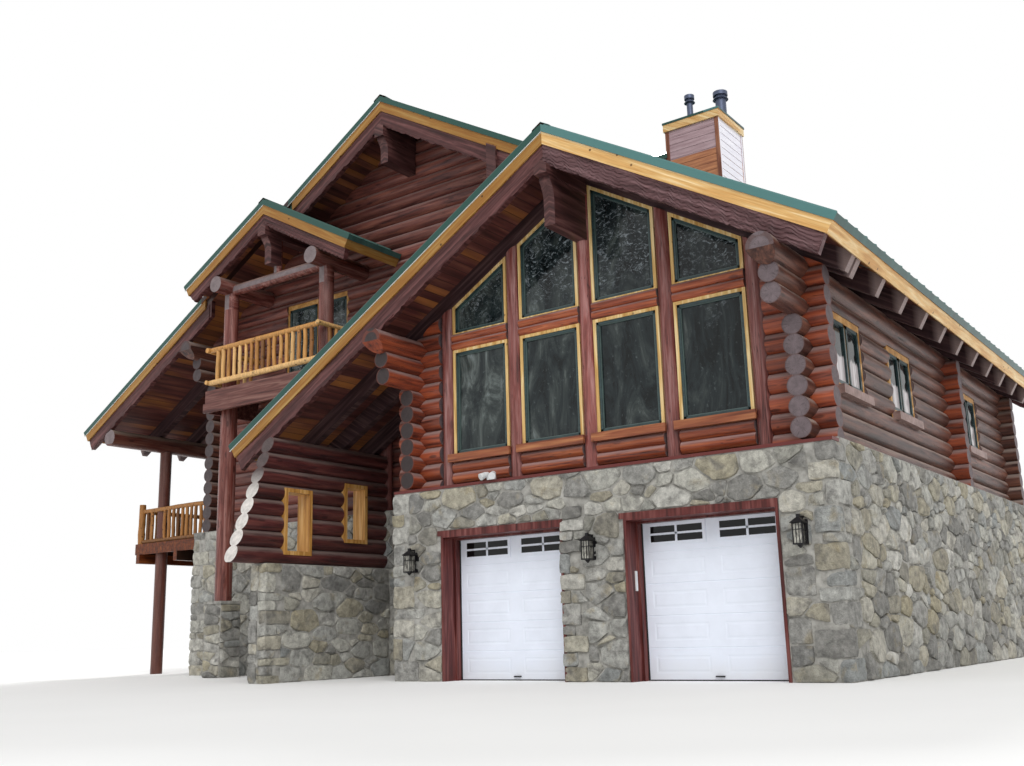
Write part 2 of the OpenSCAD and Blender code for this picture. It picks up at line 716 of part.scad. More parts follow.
module balcony_roof() placed() color("#2c5a48") difference() {
    union() {
        slope_deck(small_roof, small_left, balcony_rake_y, main_rake_y, balcony_deck_t, 1, 0);
        slope_deck(small_roof, small_right, balcony_rake_y, main_y - log_r, balcony_deck_t, 1, 0);
    }
    main_deck_space(small_left - 700, small_right - 700);
}

// Fascia board along a rake from the ridge to its square-cut end, or between plumb cuts
module rake_fascia(roof, eave_x, y, drop)
    along_y(y, y + fascia_t) eave_band(roof, roof[0], eave_x - sign(eave_x - roof[0]) * drip, metal_t, drop);
module cut_fascia(roof, xa, xb, y, drop) along_y(y, y + fascia_t) band(roof, xa, xb, metal_t, drop);

// Fascia board along an eave, square to the slope
module eave_fascia(roof, eave_x, ya, yb, drop) {
    side = sign(eave_x - roof[0]);
    outer = eave_x - side * drip;
    inner = outer - side * fascia_t;
    xs = [eave_at(roof, outer, metal_t), eave_at(roof, outer, drop),
        eave_at(roof, inner, drop), eave_at(roof, inner, metal_t)];
    ds = [metal_t, drop, drop, metal_t];
    along_y(ya, yb) polygon([for (i = [0:3]) [xs[i], roof_z(roof, xs[i]) - ds[i]]]);
}

// Where a line at a plumb depth under the main roof meets the top of another roof
function meet_wing(drop) = (main_ridge_z - drop - front_ridge_z + slope * front_ridge_x) / (2 * slope);
function meet_small(drop) = -(main_ridge_z - drop - balcony_ridge_z + small_roof[2] * balcony_ridge_x)
    / (slope + small_roof[2]);

module fascia_boards() placed() color("#cf9448") {
    front = main_rake_y + drip;
    // Main gable, front and back
    cut_fascia(main_roof, 0, meet_wing(fascia_drop), front, fascia_drop);
    cut_fascia(main_roof, 0, meet_small(fascia_drop), front, fascia_drop);
    difference() {
        rake_fascia(main_roof, -main_half, front, fascia_drop);
        block([small_left + 60, 0, 0], [10, main_back_y, main_ridge_z]);
    }
    for (side = [-1, 1]) rake_fascia(main_roof, side * main_half, main_back_y - drip - fascia_t, fascia_drop);
    // Front wing
    for (x = [main_half, -front_left_eave]) rake_fascia(wing_roof, x, -front_over + drip, fascia_drop);
    // Balcony
    for (x = [small_left, small_right]) rake_fascia(small_roof, x, balcony_rake_y + drip, fascia_drop);
    // Eaves
    set_in = drip + fascia_t;
    eave_fascia(main_roof, -main_half, main_rake_y + set_in, main_back_y - set_in, fascia_drop);
    eave_fascia(main_roof, main_half, -front_over + set_in, main_back_y - set_in, fascia_drop);
    eave_fascia(wing_roof, -front_left_eave, -front_over + set_in, main_y - log_r, fascia_drop);
    eave_fascia(small_roof, small_right, balcony_rake_y + set_in, main_y - log_r, fascia_drop);
}

// Outermost rafter behind a rake's fascia, with a hand-cut lower edge
module barge(roof, xa, xb, y, top, bottom, back, wave = 500, depth = 16)
    along_y(y, y + barge_t) wavy_band(roof, xa, xb, top, bottom, wave, depth, back);

module barge_boards() placed() color("#6a4a48") {
    bottom = deck_t + rafter_v;
    set_in = drip + fascia_t;
    y = main_rake_y + set_in;
    end = main_half - set_in - deck_t * 0.44;
    barge(main_roof, 0, meet_wing(bottom) - 60, y, deck_t, bottom, 0);
    barge(main_roof, 0, meet_small(bottom) + 60, y, deck_t, bottom, 0);
    barge(main_roof, small_left + 260, -end, y, deck_t, bottom, tail_cut);
    for (side = [-1, 1])
        barge(main_roof, 0, side * end, main_back_y - set_in - barge_t, deck_t, bottom, tail_cut);
    for (x = [end, -front_left_eave + set_in + deck_t * 0.44])
        barge(wing_roof, front_ridge_x, x, -front_over + set_in, deck_t, bottom, tail_cut);
    for (side = [-1, 1]) barge(small_roof, -balcony_ridge_x,
        -balcony_ridge_x + side * (balcony_half - set_in - 90), balcony_rake_y + set_in,
        balcony_deck_t, balcony_deck_t + balcony_rafter_v, side > 0 ? 60 : 200,
        side > 0 ? 130 : 500, side > 0 ? 20 : 14);
}

// Rafters that stand out under the eaves, notched over the plate logs
module eave_rafters() {
    bottom = deck_t + rafter_v;
    set_in = drip + fascia_t;
    for (i = [0:10]) along_y(150 + i * rafter_gap, 150 + i * rafter_gap + rafter_w)
        eave_band(main_roof, right_x - 700, main_half - set_in, deck_t, bottom);
    for (i = [0:8]) translate([0, main_y + 340 + i * rafter_gap, 0]) along_y(0, rafter_w)
        eave_band(main_roof, -left_x + 400, -main_half + set_in, deck_t, bottom);
    for (y = [700, 1600]) along_y(y, y + rafter_w)
        eave_band(wing_roof, wing_x + 500, -front_left_eave + set_in, deck_t, bottom);
}

// Pair of rafters that heads the window wall
module gable_rafters() along_y(-75, 75) for (x = [main_half, -front_left_eave])
    eave_band(wing_roof, front_ridge_x, x - sign(x) * (drip + fascia_t), deck_t, deck_t + header_v);

module rafters() placed() color("#4e3634") difference() {
    union() {
        eave_rafters();
        gable_rafters();
    }
    for (p = [[right_x, side_plate_z], [-right_x, side_plate_z], [-left_x, left_plate_z],
        [wing_x, side_plate_z]])
        along_y(-500, main_back_y) translate(p) circle(plate_r);
}

// Beam under a ridge: level foot, ridged top
module ridge_beam_part(roof, drop, bottom, ya, yb) {
    w = beam_w;
    x = roof[0];
    top = roof[1] - drop;
    along_y(ya, yb) polygon([[x - w / 2, bottom], [x + w / 2, bottom],
        [x + w / 2, top - roof[2] * w / 2], [x, top], [x - w / 2, top - roof[2] * w / 2]]);
}

// The beam's end is cut lower, so that the pair of barge boards lies on it and meets above it
module ridge_beam(roof, deck, depth, bottom, ya, rake_y, yb) {
    back = rake_y + drip + fascia_t + barge_t;
    ridge_beam_part(roof, deck + depth - 20, bottom, ya, back + 10);
    ridge_beam_part(roof, deck, bottom, back, yb);
}

// Deep bracket from the wall out under a beam's end, with a hollowed front edge
module bracket(x, beam, y_front, y_wall) {
    w = bracket_w;
    bottom = beam[1];
    hollow = 110;
    height = beam[0] - bottom;
    radius = (pow(height * 0.8, 2) / 4 + pow(hollow, 2)) / (2 * hollow);
    along_x(x - w / 2, x + w / 2) difference() {
        translate([y_front - hollow, bottom]) square([y_wall - y_front + hollow, height]);
        translate([y_front - radius, bottom + height * 0.5]) circle(radius);
        translate([y_front - hollow, bottom]) square([hollow, height * 0.5]);
    }
}

module ridge_beams() placed() color("#5b4340") {
    wall = main_y - log_r;
    ridge_beam(main_roof, deck_t, rafter_v, main_beam[0], main_rake_y - 30, main_rake_y, wall);
    bracket(0, main_beam, main_rake_y + 150, wall);
    along_y(main_rake_y - 10, wall) polygon([[purlin[0], purlin[2]], [purlin[1], purlin[2]],
        [purlin[1], roof_z(main_roof, purlin[1]) - deck_t],
        [purlin[0], roof_z(main_roof, purlin[0]) - deck_t]]);
    ridge_beam(wing_roof, deck_t, rafter_v, wing_beam[0], -front_over - 60, -front_over, -75);
    bracket(front_ridge_x, wing_beam, -front_over + 180, -window_post_r * 0.6);
    ridge_beam(small_roof, balcony_deck_t, balcony_rafter_v, balcony_beam[0], balcony_rake_y - 20,
        balcony_rake_y, wall);
    bracket(-balcony_ridge_x, balcony_beam, balcony_rake_y + 190, balcony_post_y);
}

// One ring of boards around the balcony's front and sides, its top this far below the floor
module balcony_ring(out, top, h) difference() {
    wall = main_y - log_r;
    upper = balcony_z - top;
    block([balcony_left - out, balcony_y - out, upper - h], [balcony_right + out, wall, upper]);
    block([balcony_left + 60, balcony_y + 60, upper - h - 10], [balcony_right - 60, wall + 10, upper + 10]);
}

module balcony_floor() placed() color("#71493f") {
    block([balcony_left + 59, balcony_y + 59, balcony_z - 60],
        [balcony_right - 59, main_y - log_r, balcony_z]);
    balcony_ring(0, 0, balcony_rim_h);
    balcony_ring(30, balcony_rim_h - 1, balcony_beam_h);
}

module balcony_frame() placed() color("#7c3226") {
    top = balcony_plate_z - balcony_plate_r + 40;
    wall = main_y - log_r;
    translate([low_post[0], low_post[1], pier_z]) cylinder(r = low_post_r, h = balcony_z - 60 - pier_z);
    for (x = balcony_posts_x) {
        translate([x, balcony_post_y, balcony_z]) cylinder(r = post_r, h = top - balcony_z);
        along_y(balcony_rake_y, wall) translate([x, balcony_plate_z]) circle(balcony_plate_r);
    }
    translate([balcony_posts_x[0], balcony_post_y, balcony_plate_z - 60]) rotate([0, 90, 0])
        cylinder(r = 130, h = balcony_posts_x[1] - balcony_posts_x[0]);
    translate([-balcony_ridge_x, balcony_post_y, balcony_plate_z - 60])
        cylinder(r = 95, h = balcony_beam[0] - balcony_plate_z + 60);
}

module balcony_railing() placed() color("#c68d4b") {
    foot = 140;
    out = 50;
    y = balcony_y + rail_set_in;
    xa = balcony_left + rail_set_in;
    xb = balcony_right - rail_set_in;
    translate([xa, y, balcony_z]) railing(xb - xa, balcony_rail_h, baluster_gap, foot);
    for (x = [xa, xb]) translate([x, y - rail_r - out, balcony_z]) rotate([0, 0, 90])
        railing(main_y - log_r - y + rail_r + out, balcony_rail_h, baluster_gap, foot);
}

module deck_floor() placed() color("#9a5a2c") {
    inner = -left_x - stone_out;
    back = back_y;
    difference() {
        union() {
            block([-deck_x + 50, deck_y + 50, stone_z - 60], [inner, back - 50, stone_z]);
            block([-deck_x, deck_y, stone_z - deck_rim_h], [inner, deck_y + 50, stone_z]);
            block([-deck_x, back - 50, stone_z - deck_rim_h], [inner, back, stone_z]);
            block([-deck_x, deck_y + 49, stone_z - deck_rim_h], [-deck_x + 50, back - 49, stone_z]);
        }
        for (y = deck_post_y) translate([-right_x, y, 2000]) cylinder(r = post_r - 15, h = 2000);
    }
    under = stone_z - deck_rim_h;
    for (x = deck_beam_x)
        block([x - deck_beam_w / 2, deck_y - 90, under - deck_beam_h], [x + deck_beam_w / 2, back, under]);
}

module deck_posts() placed() color("#5f2a22") {
    for (y = deck_post_y) translate([-right_x, y, 0])
        cylinder(r = post_r - 15, h = side_plate_z - plate_r + 30);
    along_y(main_rake_y + drip + fascia_t, back_y + 1000) translate([-right_x, side_plate_z]) circle(plate_r);
}

module deck_railing() placed() color("#c98a3c") {
    inner = -left_x - stone_out;
    height = deck_rail_z - stone_z;
    front = deck_y + 100;
    corner = -deck_x + 95;
    post = -right_x - corner - 60;
    block([corner - 90, front - 90, stone_z], [corner + 90, front + 90, deck_rail_z + 130]);
    block([corner - 90, back_y - 230, stone_z], [corner + 90, back_y - 50, deck_rail_z + 130]);
    translate([corner + 60, front, stone_z]) railing(inner - corner - 60, height, 180, 0, post);
    translate([corner, front + 60, stone_z]) rotate([0, 0, 90]) railing(back_y - 200 - front, height, 180);
    translate([corner + 60, back_y - 140, stone_z]) railing(inner - corner - 60, height, 180, 0, post);
}

// Everything above the main roof and uphill of the chimney
module uphill_space(lift) along_y(chase_y - 500, chase_y + chase_w + 500)
    polygon([[0, main_ridge_z + lift], [chase_x, roof_z(main_roof, chase_x) + lift],
        [chase_x, main_ridge_z + 500], [0, main_ridge_z + 500]]);

// Sections of the saddle behind the chimney: its roof, which stands out past the walls, and its walls
module saddle_roof_section(out = 70) {
    mid = chase_y + chase_w / 2;
    half = chase_w / 2 + out;
    edge = saddle_ridge_z - slope * half;
    polygon([[mid - half, edge - saddle_t], [mid, saddle_ridge_z - saddle_t], [mid + half, edge - saddle_t],
        [mid + half, edge], [mid, saddle_ridge_z], [mid - half, edge]]);
}
module saddle_wall_section() {
    mid = chase_y + chase_w / 2;
    half = chase_w / 2;
    top = saddle_ridge_z - saddle_t;
    polygon([[mid - half, saddle_foot], [mid + half, saddle_foot], [mid + half, top - slope * half],
        [mid, top], [mid - half, top - slope * half]]);
}

module chimney_chase() placed() color("#7d4a3d") {
    block([chase_x, chase_y, stone_z], [chase_x + chase_w, chase_y + chase_w, chase_top]);
    intersection() {
        along_x(0, chase_x + 1) saddle_wall_section();
        uphill_space(0);
    }
}

// Ridged roof that parts the snow on the uphill side of the chimney
module chimney_saddle() placed() color("#2c5a48") intersection() {
    along_x(0, chase_x) saddle_roof_section();
    uphill_space(0);
}

module chimney_cap() placed() color("#c98b45") {
    block([chase_x - cap_lip, chase_y - cap_lip, chase_top],
        [chase_x + chase_w + cap_lip, chase_y + chase_w + cap_lip, chase_top + cap_h]);
}

// Round metal flue with a storm collar and a slotted cap
module flue(h, r) {
    cylinder(r = r, h = h);
    translate([0, 0, h - 150]) cylinder(r1 = r + 55, r2 = r + 15, h = 60);
    translate([0, 0, h - 60]) cylinder(r = r + 45, h = 90);
}

module chimney_flues() placed() color("#26262a") {
    foot = chase_top + cap_h;
    translate([chase_x + 330, chase_y + 610, foot]) flue(810, 70);
    translate([chase_x + 1050, chase_y + 700, foot]) flue(690, 120);
}

garage_stone_wall();
right_stone_wall();
main_front_stone_wall();
rear_stone_walls();
porch_stone_wall();
balcony_post_pier();
main_floor();
upper_floor();
garage_doors();
garage_door_linings();
wall_lanterns();
crossing_logs();
window_posts();
window_rail_logs();
window_sills();
front_window_frames();
front_window_glass();
right_log_wall();
wing_left_log_wall();
main_front_log_wall();
left_log_wall();
back_log_wall();
side_window_frames();
side_window_glass();
porch_log_wall();
porch_window_frames();
porch_corner_post();
main_roof_left();
main_roof_right();
front_roof();
balcony_roof();
fascia_boards();
barge_boards();
rafters();
ridge_beams();
balcony_floor();
balcony_frame();
balcony_railing();
deck_floor();
deck_posts();
deck_railing();
chimney_chase();
chimney_saddle();
chimney_cap();
chimney_flues();
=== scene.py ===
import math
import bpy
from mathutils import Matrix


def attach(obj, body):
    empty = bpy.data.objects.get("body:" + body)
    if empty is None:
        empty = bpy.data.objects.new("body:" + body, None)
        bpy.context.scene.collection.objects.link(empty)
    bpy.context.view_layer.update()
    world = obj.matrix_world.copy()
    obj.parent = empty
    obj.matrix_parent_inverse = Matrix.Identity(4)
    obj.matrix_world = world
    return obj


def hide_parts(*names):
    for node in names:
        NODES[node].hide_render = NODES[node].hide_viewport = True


bl_info = {
    "name": "Alpine Chalet Dressing",
    "version": (1, 0, 0),
    "blender": (4, 5, 0),
    "location": "View3D > Sidebar > Chalet",
    "description": "Dresses a log chalet: rubble stone, ribbed roof, carved boards, doors, lanterns and rails",
    "category": "Add Mesh",
}

from functools import partial

import bmesh
import bpy
import numpy as np
from bpy.props import FloatProperty, FloatVectorProperty, IntProperty, PointerProperty
from mathutils import Matrix

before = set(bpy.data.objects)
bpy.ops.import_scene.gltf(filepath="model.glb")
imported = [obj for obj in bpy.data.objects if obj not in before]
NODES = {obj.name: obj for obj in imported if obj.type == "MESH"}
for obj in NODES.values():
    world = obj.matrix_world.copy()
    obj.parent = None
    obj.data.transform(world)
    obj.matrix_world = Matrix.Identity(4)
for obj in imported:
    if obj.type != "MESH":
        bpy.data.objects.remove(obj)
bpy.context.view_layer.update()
for old in bpy.data.materials:
    old.name = "frame_" + old.name

# The pieces are worked out with y = 0 on the window wall, in metres; the frame's middle lies MID_Y behind it
MID_Y = 5.69
TAU = 2 * np.pi
# Each roof: the place and height of its ridge along X, and the rise of its slopes
SLOPE = math.tan(math.radians(30.5))
MAIN = (0.0, 12.33, SLOPE)
WING = (5.7, 12.33 - SLOPE * 5.7, SLOPE)
SMALL = (-3.05, 12.33 - SLOPE * 3.05, math.tan(math.radians(29)))
# Courses of logs: height of the first centre and rise of each course
PITCH = 0.303
FRONT_COURSES = (3.33, PITCH)
SIDE_COURSES = (3.33 + PITCH / 2, PITCH)
PORCH_COURSES = (2.13 + 0.1475, 0.295)
DOORS_X = (2.85, 6.485)
DOOR_W, DOOR_H = 2.42, 2.4
POSTS_X = 5.7 + 1.5 * np.arange(-2, 3)


def srgb(text):
    """Turns a colour written as #rrggbb into linear red, green and blue."""
    value = np.array([int(text[i:i + 2], 16) for i in (1, 3, 5)]) / 255
    return tuple(np.where(value <= 0.04045, value / 12.92, ((value + 0.055) / 1.055) ** 2.4))


def rgba(colour):
    """Gives a colour its fourth number. It is written as #rrggbb, as linear numbers, or as one grey value."""
    if isinstance(colour, str):
        colour = srgb(colour)
    elif isinstance(colour, float):
        colour = (colour,) * 3
    return (*tuple(colour)[:3], 1.0)


def add(tree, kind, *inputs, out=0, ramp=None, **settings):
    """Adds one node. A word after its kind is its operation or its way of blending, and Mix nodes blend colours
    unless data_type says otherwise. inputs go to the open sockets in order, settings with a capital to the
    sockets of their name, and the others to the node's fields. Gives back the first open output, the one that
    out names, or with out=None the node itself."""
    kind, _, way = kind.partition(" ")
    node = tree.nodes.new("ShaderNode" + kind)
    if kind == "Mix":
        node.data_type = "RGBA"
    if way:
        setattr(node, "blend_type" if kind == "Mix" else "operation", way)
    named = {name.replace("_", " "): settings.pop(name) for name in list(settings) if name[0].isupper()}
    for name, value in settings.items():
        setattr(node, name, value)
    pairs = list(zip([socket for socket in node.inputs if socket.enabled], inputs))
    for socket, value in pairs + [(node.inputs[name], value) for name, value in named.items()]:
        if isinstance(value, bpy.types.NodeSocket):
            tree.links.new(value, socket)
        else:
            socket.default_value = rgba(value) if socket.type == "RGBA" else value
    if ramp:
        stops = node.color_ramp.elements
        while len(stops) < len(ramp):
            stops.new(1.0)
        for stop, (place, colour) in zip(stops, ramp):
            stop.position = place
            stop.color = rgba(colour)
    if out is None:
        return node
    return node.outputs[out] if out else next(socket for socket in node.outputs if socket.enabled)


def begin(name, **values):
    """Starts a material with one shader, whose sockets take the values that are the same all over. Gives back
    the function that adds a node, the object's coordinates and the function that closes the material."""
    material = bpy.data.materials.new(name)
    material.use_nodes = True
    material.node_tree.nodes.clear()
    node = partial(add, material.node_tree)
    shader = node("BsdfPrincipled", out=None, **values)
    node("OutputMaterial", shader.outputs[0], out=None)
    return node, node("TexCoord", out="Object"), partial(close, node, shader)


def close(node, shader, colour, height=None, distance=0.004, strength=0.6, roughness=None):
    """Joins a colour, a height for the bump and a roughness to the shader."""
    links = shader.id_data.links
    links.new(colour, shader.inputs["Base Color"])
    if height is not None:
        bump = node("Bump", Height=height, Distance=distance, Strength=strength)
        links.new(bump, shader.inputs["Normal"])
    if roughness is not None:
        links.new(roughness, shader.inputs["Roughness"])


def stretched_noise(node, where, scales, detail=4.0, rough=0.6, twist=0.0):
    """Noise whose grain is this many grains a metre along each axis."""
    placed = node("Mapping", Vector=where, Scale=scales)
    return node("TexNoise", Vector=placed, Scale=1.0, Detail=detail, Roughness=rough, Distortion=twist)


def drawn_out(axis, across, along):
    """Grains a metre along each axis, for a grain that runs along one of them."""
    return [along if i == axis else across for i in range(3)]


def hairlines(node, noise, width, depth):
    """Thin lines where a noise crosses its middle value: full depth there, none at width from it."""
    off = node("Math ABSOLUTE", node("Math SUBTRACT", noise, 0.5))
    return node("MapRange", off, 0.0, width, depth, 0.0)


def wrapped(node, value, centre, period):
    """A coordinate measured from the nearest of the places centre + i * period."""
    moved = node("Math SUBTRACT", value, centre - period / 2)
    turned = node("Math FLOORED_MODULO", moved, period)
    return node("Math SUBTRACT", turned, period / 2)


def log_wood(name, axis, centre, courses, deep, body, light, top, end, period=100.0, gloss=0.4, lying=None,
             painted_sunlight=None):
    """Peeled and varnished logs: long streaks and drying cracks along the log, a tone for each log, a dull pale top
    where rain lies that is also a painted highlight of the light from above, and sawn ends with faint growth
    rings. Over the height that lying gives, logs that otherwise stand lie along Y. painted_sunlight gives a height
    and the colour of the ends below it, which is painted sunlight."""
    node, where, close = begin(name, Roughness=gloss, IOR=1.42)
    part = node("SeparateXYZ", where, out=None).outputs
    other = 1 - axis if axis < 2 else 0
    across = wrapped(node, part[other], centre, period)
    if courses:
        index = node("Math SUBTRACT", part[2], courses[0] - courses[1] / 2)
        index = node("Math FLOOR", node("Math DIVIDE", index, courses[1]))
        up = wrapped(node, part[2], courses[0], courses[1])
    else:
        index = node("Math SUBTRACT", part[other], across)
        up = node("Math SUBTRACT", part[1], -MID_Y)
    tone = node("TexWhiteNoise", W=index, noise_dimensions="1D")
    # Streaks a hand wide drawn out along the log, shifted for each log
    shift = node("CombineXYZ", tone, tone, tone)
    shifted = node("VectorMath ADD", where, shift)
    if lying:
        high = node("Math GREATER_THAN", part[2], lying)
        swung = node("CombineXYZ", part[0], part[2], part[1])
        shifted = node("Mix", high, shifted, swung, data_type="VECTOR")
    streak = stretched_noise(node, shifted, drawn_out(axis, 11.0, 0.8), 5.0, 0.62, 0.5)
    grain = stretched_noise(node, shifted, drawn_out(axis, 60.0, 2.5), 3.0)
    colour = node("ValToRGB", streak, ramp=[(0.30, deep), (0.46, body), (0.70, light)])
    lift = node("MapRange", tone, 0.0, 1.0, 0.74, 1.22)
    colour = node("Mix MULTIPLY", 1.0, colour, lift)
    fleck = node("MapRange", grain, 0.3, 0.7, 0.80, 1.14)
    colour = node("Mix MULTIPLY", 1.0, colour, fleck)
    # Knots some 40 mm wide, and cracks that follow the log
    knot = node("Mapping", Vector=shifted, Scale=drawn_out(axis, 5.0, 1.6))
    knot = node("TexVoronoi", Vector=knot, Scale=1.0, Randomness=1.0)
    knot = node("MapRange", knot, 0.10, 0.17, 0.7, 0.0)
    colour = node("Mix", knot, colour, deep)
    crack = stretched_noise(node, shifted, drawn_out(axis, 17.0, 0.42), 2.0, 0.5, 0.2)
    crack = hairlines(node, crack, 0.008, 0.9)
    colour = node("Mix", crack, colour, "#160d0d")
    # The dull top, weathered where rain lies and also a painted highlight of the light from above, whose edge wanders
    # with the streaks
    lean = node("SeparateXYZ", node("NewGeometry", out="Normal"), out=None).outputs
    rain_and_highlight = node("Math MULTIPLY_ADD", streak, 0.8, lean[2])
    rain_and_highlight = node("MapRange", rain_and_highlight, 0.62, 1.02, 0.0, 0.88)
    faded_and_highlight = node("Mix MULTIPLY", 1.0, top, fleck)
    colour = node("Mix", rain_and_highlight, colour, faded_and_highlight)
    height = node("Math SUBTRACT", streak, crack)
    facing_end = node("Math ABSOLUTE", lean[1 if lying else axis])
    facing_end = node("MapRange", facing_end, 0.86, 0.92)
    blotch = stretched_noise(node, where, (9.0, 9.0, 9.0), 5.0, 0.7)
    shade = node("MapRange", blotch, 0.3, 0.7, 0.72, 1.25)
    if courses:
        spread = node("CombineXYZ", across, up, 0.0)
        radius = node("VectorMath LENGTH", spread)
        angle = node("Math ARCTAN2", up, across)
        rings = node("Math MULTIPLY", radius, TAU / 0.021)
        rings = node("Math MULTIPLY_ADD", blotch, 6.0, rings)
        rings = node("Math SINE", rings)
        rings = node("Math MULTIPLY_ADD", rings, 0.08, shade)
        rays = node("CombineXYZ", angle, index, radius)
        star = hairlines(node, stretched_noise(node, rays, (1.6, 7.3, 1.5), 2.0, 0.5), 0.014, 0.5)
        sawn = node("Mix MULTIPLY", 1.0, end, rings)
        sawn = node("Mix", star, sawn, "#2a2020")
        rim = node("MapRange", radius, 0.135, 0.155, 0.0, 0.5)
        sawn = node("Mix", rim, sawn, body)
    else:
        sawn = node("Mix MULTIPLY", 1.0, end, shade)
    # Painted sunlight: the ends below the given height are pale, fading over half a metre into the plain ends above
    if painted_sunlight:
        sun = node("MapRange", part[2], painted_sunlight[0], painted_sunlight[0] + 0.5, 1.0, 0.0)
        pale = node("Mix MULTIPLY", 1.0, painted_sunlight[1], shade)
        sawn = node("Mix", sun, sawn, pale)
    if lying:
        facing_end = node("Math MULTIPLY", facing_end, high)
    colour = node("Mix", facing_end, colour, sawn)
    dull = node("Math MAXIMUM", rain_and_highlight, facing_end)
    dull = node("MapRange", dull, 0.0, 1.0, gloss, 0.62)
    close(colour, height, 0.007, 0.6, dull)


def slope_place(node, where):
    """A place on a roof's boards: distance from the ridge, depth, and height measured from the slope."""
    part = node("SeparateXYZ", where, out=None).outputs
    behind_wing = node("Math GREATER_THAN", part[1], 0.3 - MID_Y)
    behind_small = node("Math GREATER_THAN", part[1], 1.02 - MID_Y)
    ridge = node("Math MULTIPLY_ADD", behind_wing, SMALL[0] - WING[0], WING[0])
    ridge = node("Math MULTIPLY_ADD", behind_small, -SMALL[0], ridge)
    out = node("Math ABSOLUTE", node("Math SUBTRACT", part[0], ridge))
    level = node("Math MULTIPLY_ADD", out, SLOPE, part[2])
    return node("CombineXYZ", out, part[1], level)


def board_wood(name, dark, body, light, along=None, gloss=0.4, knots=0.8, board=0.0, worn=None,
               low=None, aside=None, far=None):
    """Planed boards: fine grain and knots along the board. With no axis given, the boards of a rake
    follow the roof's slope and the others run along Y. board is the width between two joints, and low
    gives a height and the stain of the boards below it. aside gives a place along X, and a colour that
    darkens the boards to the left of it as painted shade. far gives a distance from the ridge, and the colour of
    what lies beyond it."""
    node, where, close = begin(name, Roughness=gloss, IOR=1.34)
    part = node("SeparateXYZ", where, out=None).outputs
    lean = node("SeparateXYZ", node("NewGeometry", out="Normal"), out=None).outputs
    if along is None:
        rake = node("Math GREATER_THAN", node("Math ABSOLUTE", lean[1]), 0.5)
        on_rake = node("Mapping", Vector=slope_place(node, where), Scale=(0.9, 12.0, 15.0))
        on_eave = node("Mapping", Vector=where, Scale=drawn_out(1, 13.0, 0.9))
        place = node("Mix", rake, on_eave, on_rake, data_type="VECTOR")
    else:
        place = node("Mapping", Vector=where, Scale=drawn_out(along, 14.0, 0.9))
    broad = node("TexNoise", Vector=place, Scale=1.0, Detail=5.0, Distortion=0.6)
    thin = node("TexNoise", Vector=place, Scale=5.0, Detail=3.0)
    colour = node("ValToRGB", broad, ramp=[(0.32, dark), (0.5, body), (0.7, light)])
    fleck = node("MapRange", thin, 0.35, 0.7, 0.88, 1.07)
    colour = node("Mix MULTIPLY", 1.0, colour, fleck)
    if knots:
        spot = node("TexVoronoi", Vector=where, Scale=4.2, Randomness=1.0)
        spot = node("MapRange", spot, 0.06, 0.12, knots, 0.0)
        colour = node("Mix", spot, colour, "#4a2a17")
    height = thin
    if board:
        seam = node("Math ABSOLUTE", wrapped(node, part[1 if along == 0 else 0], 0.0, board))
        seam = node("MapRange", seam, board / 2 - 0.008, board / 2 - 0.003)
        colour = node("Mix", seam, colour, "#2a1a12")
        height = node("Math SUBTRACT", thin, seam)
    if worn:
        colour = node("Mix", node("MapRange", lean[2], 0.5, 0.9, 0.0, 0.7), colour, worn)
    if low:
        stain = node("Mix MULTIPLY", 1.0, low[1], fleck)
        colour = node("Mix", node("Math LESS_THAN", part[2], low[0]), colour, stain)
    if far:
        beyond = node("MapRange", node("Math ABSOLUTE", part[0]), far[0], far[0] + 0.12)
        colour = node("Mix", beyond, colour, node("Mix MULTIPLY", 1.0, far[1], fleck))
    # Painted shade: the boards left of the place that aside gives are darkened
    if aside:
        colour = node("Mix MULTIPLY", node("Math LESS_THAN", part[0], aside[0]), colour, aside[1])
    close(colour, height, 0.003, 0.4)


